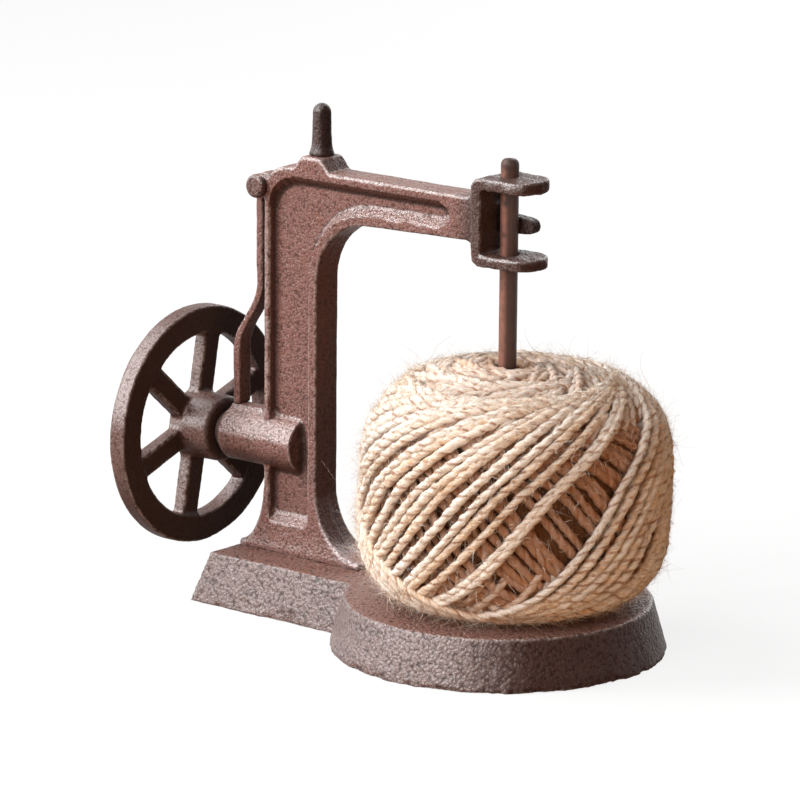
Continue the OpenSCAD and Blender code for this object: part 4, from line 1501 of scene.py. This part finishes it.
    def wind(self, name: str, layer: Union[Layer, Belt], points: np.ndarray, normal: np.ndarray, part: int,
             sunk: float, material: Material) -> None:
        """Makes one piece of the winding, with painted shade on the side that faces inwards.

        Args:
            name: name of the piece.
            layer: the layer's counts.
            points: middle lines of its strands.
            normal: outward normals there.
            part: number of the piece in its layer.
            sunk: how much painted shade its outer side has, 0 to 1.
            material: its finish.
        """
        where, faces, uv, tint, inward = self.strands(layer, points, normal, part)
        piece = MeshMaker.mesh(name, where, faces)
        MeshMaker.corner_uv(piece, uv)
        MeshMaker.point_value(piece, "tint", tint)
        MeshMaker.point_value(piece, "sunk", sunk + (1.0 - sunk) * self.INNER_BROWN * inward)
        outside = name.startswith("twine_outer")
        MeshMaker.place(piece, Body.BALL, Slot.TWINE, material, ("twine_winding",) if outside else ())

    def hairs(self, fuzz: Fuzz, points: np.ndarray, normal: np.ndarray, material: Material) -> None:
        """Makes one piece of loose fibres.

        Args:
            fuzz: the set's counts and sizes.
            points: middle lines of the strands that they leave.
            normal: outward normals there.
            material: their finish.
        """
        where, faces = self.fibres(fuzz, points, normal)
        piece = MeshMaker.mesh(fuzz.name, where, faces)
        MeshMaker.corner_uv(piece, np.zeros((faces.size, 2)))
        tints = np.linspace(*self.FIBRE_TINTS, fuzz.count)
        MeshMaker.point_value(piece, "tint", np.repeat(tints, 2 * fuzz.rows))
        MeshMaker.place(piece, Body.BALL, Slot.TWINE, material)


# Studio


@dataclass(frozen=True)
class Lamp:
    """A soft lamp that points at the object from away metres in its direction."""

    name: str
    direction: Place
    size: Pair
    watts: float
    colour: Colour = (1.0, 1.0, 1.0)
    away: float = 1.6

    def build(self, target: Vector) -> None:
        """Hangs the lamp.

        Args:
            target: place that it points at.
        """
        data = bpy.data.lights.new(self.name, "AREA")
        data.shape = "RECTANGLE"
        data.size, data.size_y = self.size
        data.energy = self.watts
        data.color = self.colour
        lamp = bpy.data.objects.new(self.name, data)
        spot = target + Vector(self.direction).normalized() * self.away
        lamp.location = spot
        lamp.rotation_euler = (target - spot).to_track_quat("-Z", "Y").to_euler()
        bpy.context.scene.collection.objects.link(lamp)


@dataclass
class Studio:
    """Camera, pale floor and soft light: angles in degrees, lens in millimetres, the rest in metres."""

    target: Place
    azimuth: float = 39.01
    elevation: float = 13.63
    roll: float = 0.49
    distance: float = 1.6662
    lens: float = 225.0
    lamps: Tuple[Lamp, ...] = (
        Lamp("high", (-0.54, -0.24, 0.81), (0.8, 0.8), 16.0),
        Lamp("side", (-0.62, -0.62, 0.36), (0.5, 1.1), 25.0),
        Lamp("front", (0.04, -0.85, 0.52), (1.3, 1.0), 19.0),
        Lamp("warm", (0.85, -0.45, 0.12), (0.8, 0.6), 7.0, (1.0, 0.55, 0.28)),
        Lamp("back", (-0.25, 0.90, 0.35), (1.0, 1.0), 9.0),
    )
    sky: float = 0.04
    white: float = 0.84
    floor_half: float = 6.0
    floor_drop: float = 0.05 * MM

    def camera(self) -> None:
        """Sets the camera at the photograph's angle, with a small roll."""
        az, el, ro = (math.radians(v) for v in (self.azimuth, self.elevation, self.roll))
        ahead = Vector((-math.sin(az) * math.cos(el), math.cos(az) * math.cos(el), -math.sin(el)))
        right = Vector((math.cos(az), math.sin(az), 0.0))
        up = right.cross(ahead)
        right, up = right * math.cos(ro) + up * math.sin(ro), up * math.cos(ro) - right * math.sin(ro)
        place = Vector(self.target) - ahead * self.distance
        data = bpy.data.cameras.new("camera")
        data.sensor_width = 36.0
        data.lens = self.lens
        data.clip_end = 20.0
        view = bpy.data.objects.new("camera", data)
        view.matrix_world = Matrix(((right.x, up.x, -ahead.x, place.x), (right.y, up.y, -ahead.y, place.y),
                                    (right.z, up.z, -ahead.z, place.z), (0.0, 0.0, 0.0, 1.0)))
        bpy.context.scene.collection.objects.link(view)
        bpy.context.scene.camera = view

    @staticmethod
    def seen(t: NodeTree) -> Socket:
        """1 for rays from the camera, through clear things or off gloss, and 0 for the rest."""
        rays = t.add("ShaderNodeLightPath").outputs
        return t.most(t.most(rays["Is Camera Ray"], rays["Is Transmission Ray"]), rays["Is Glossy Ray"])

    def floor(self) -> None:
        """Adds the pale floor, brown to the light that it throws back."""
        half, low = self.floor_half, -self.floor_drop
        points = np.array([[-half, -half, low], [half, -half, low], [half, half, low], [-half, half, low]])
        piece = MeshMaker.mesh("floor", points, np.array([[0, 1, 2, 3]]), smooth=False)
        t = NodeTree(bpy.data.materials.new("floor_white"))
        dull = t.set(t.add("ShaderNodeBsdfDiffuse"), Color=(0.30, 0.18, 0.10))
        pale = t.set(t.add("ShaderNodeBsdfDiffuse"), Color=(0.93, 0.93, 0.93))
        glow = t.set(t.add("ShaderNodeEmission"), Color=(1.0, 1.0, 1.0), Strength=1.0)
        shown = t.blend(self.seen(t), dull, t.blend(self.white, pale, glow))
        t.set(t.output, Surface=shown.outputs["Shader"])
        piece.data.materials.append(t.owner)

    def world(self) -> None:
        """White to the camera and in reflections, softer as light."""
        world = bpy.data.worlds.new("studio")
        bpy.context.scene.world = world
        t = NodeTree(world, "ShaderNodeOutputWorld")
        level = t.set(t.add("ShaderNodeMapRange"), Value=self.seen(t), To_Min=self.sky, To_Max=1.0)
        back = t.set(t.add("ShaderNodeBackground"), Color=(1.0, 1.0, 1.0), Strength=level.outputs["Result"])
        t.set(t.output, Surface=back.outputs["Background"])

    def build(self) -> None:
        """Builds the camera, floor, lamps and world."""
        self.camera()
        self.floor()
        for lamp in self.lamps:
            lamp.build(Vector(self.target))
        self.world()
        bpy.context.scene.view_settings.view_transform = "Standard"
        LOG.info("studio ready")


def dress_nodes(finishes: Dict[Slot, Material]) -> None:
    """Gives the small CAD nodes that stay their finish.

    Args:
        finishes: material of each slot.
    """
    for name in ("frame_screws", "frame_screw_washers", "wheel_axle", "axle_washer", "thrust_washer"):
        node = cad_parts[name]
        node.data.materials.clear()
        node.data.materials.append(finishes[Slot.DARK_STEEL])
        LOG.info("%s dressed", name)


def main() -> None:
    """Builds the scene: studio, castings, wheel, rod and ball."""
    logging.basicConfig(level=logging.INFO, format="%(message)s")
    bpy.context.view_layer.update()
    low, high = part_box("spindle")
    axis = (low + high) / 2
    Studio(target=(axis.x - VIEW_BACK, axis.y, VIEW_HEIGHT)).build()
    looks = Finishes()
    finishes = {Slot.IRON: looks.iron.material(), Slot.DARK_IRON: looks.wheel_iron.material(),
                Slot.BROWN_STEEL: looks.rod.material(), Slot.DARK_STEEL: looks.bolt.material(),
                Slot.TWINE: looks.jute.material()}
    peg_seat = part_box("spool_peg")[0].z + PEG_SHANK
    base, dark = looks.base_iron.material(), looks.dark_iron.material()
    # the twine guide's dark finish is painted shade
    own = {"base_casting": base, "strap_pin": base, "spool_peg": dark, "twine_guide": dark}
    CastFrame(spindle=(axis.x, axis.y), peg_seat=peg_seat).build(finishes, own)
    Handwheel().build(finishes[Slot.DARK_IRON])
    Spindle().build(finishes[Slot.BROWN_STEEL])
    tray_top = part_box("base_casting")[1].z
    core_low, core_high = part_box("twine_core")
    wound_low, wound_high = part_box("twine_winding")
    middle = (core_low + core_high) / 2
    form = BallForm(spindle=(axis.x, axis.y), offset=(middle.x - axis.x, middle.y - axis.y),
                    waist=tray_top + BALL_WAIST, half_width=(wound_high.x - wound_low.x) / 2 + BALL_PROUD)
    TwineBall(form).build(finishes[Slot.TWINE], looks.jute_shaded_core.material(), looks.fuzz.material())
    dress_nodes(finishes)


if __name__ == "__main__":
    main()
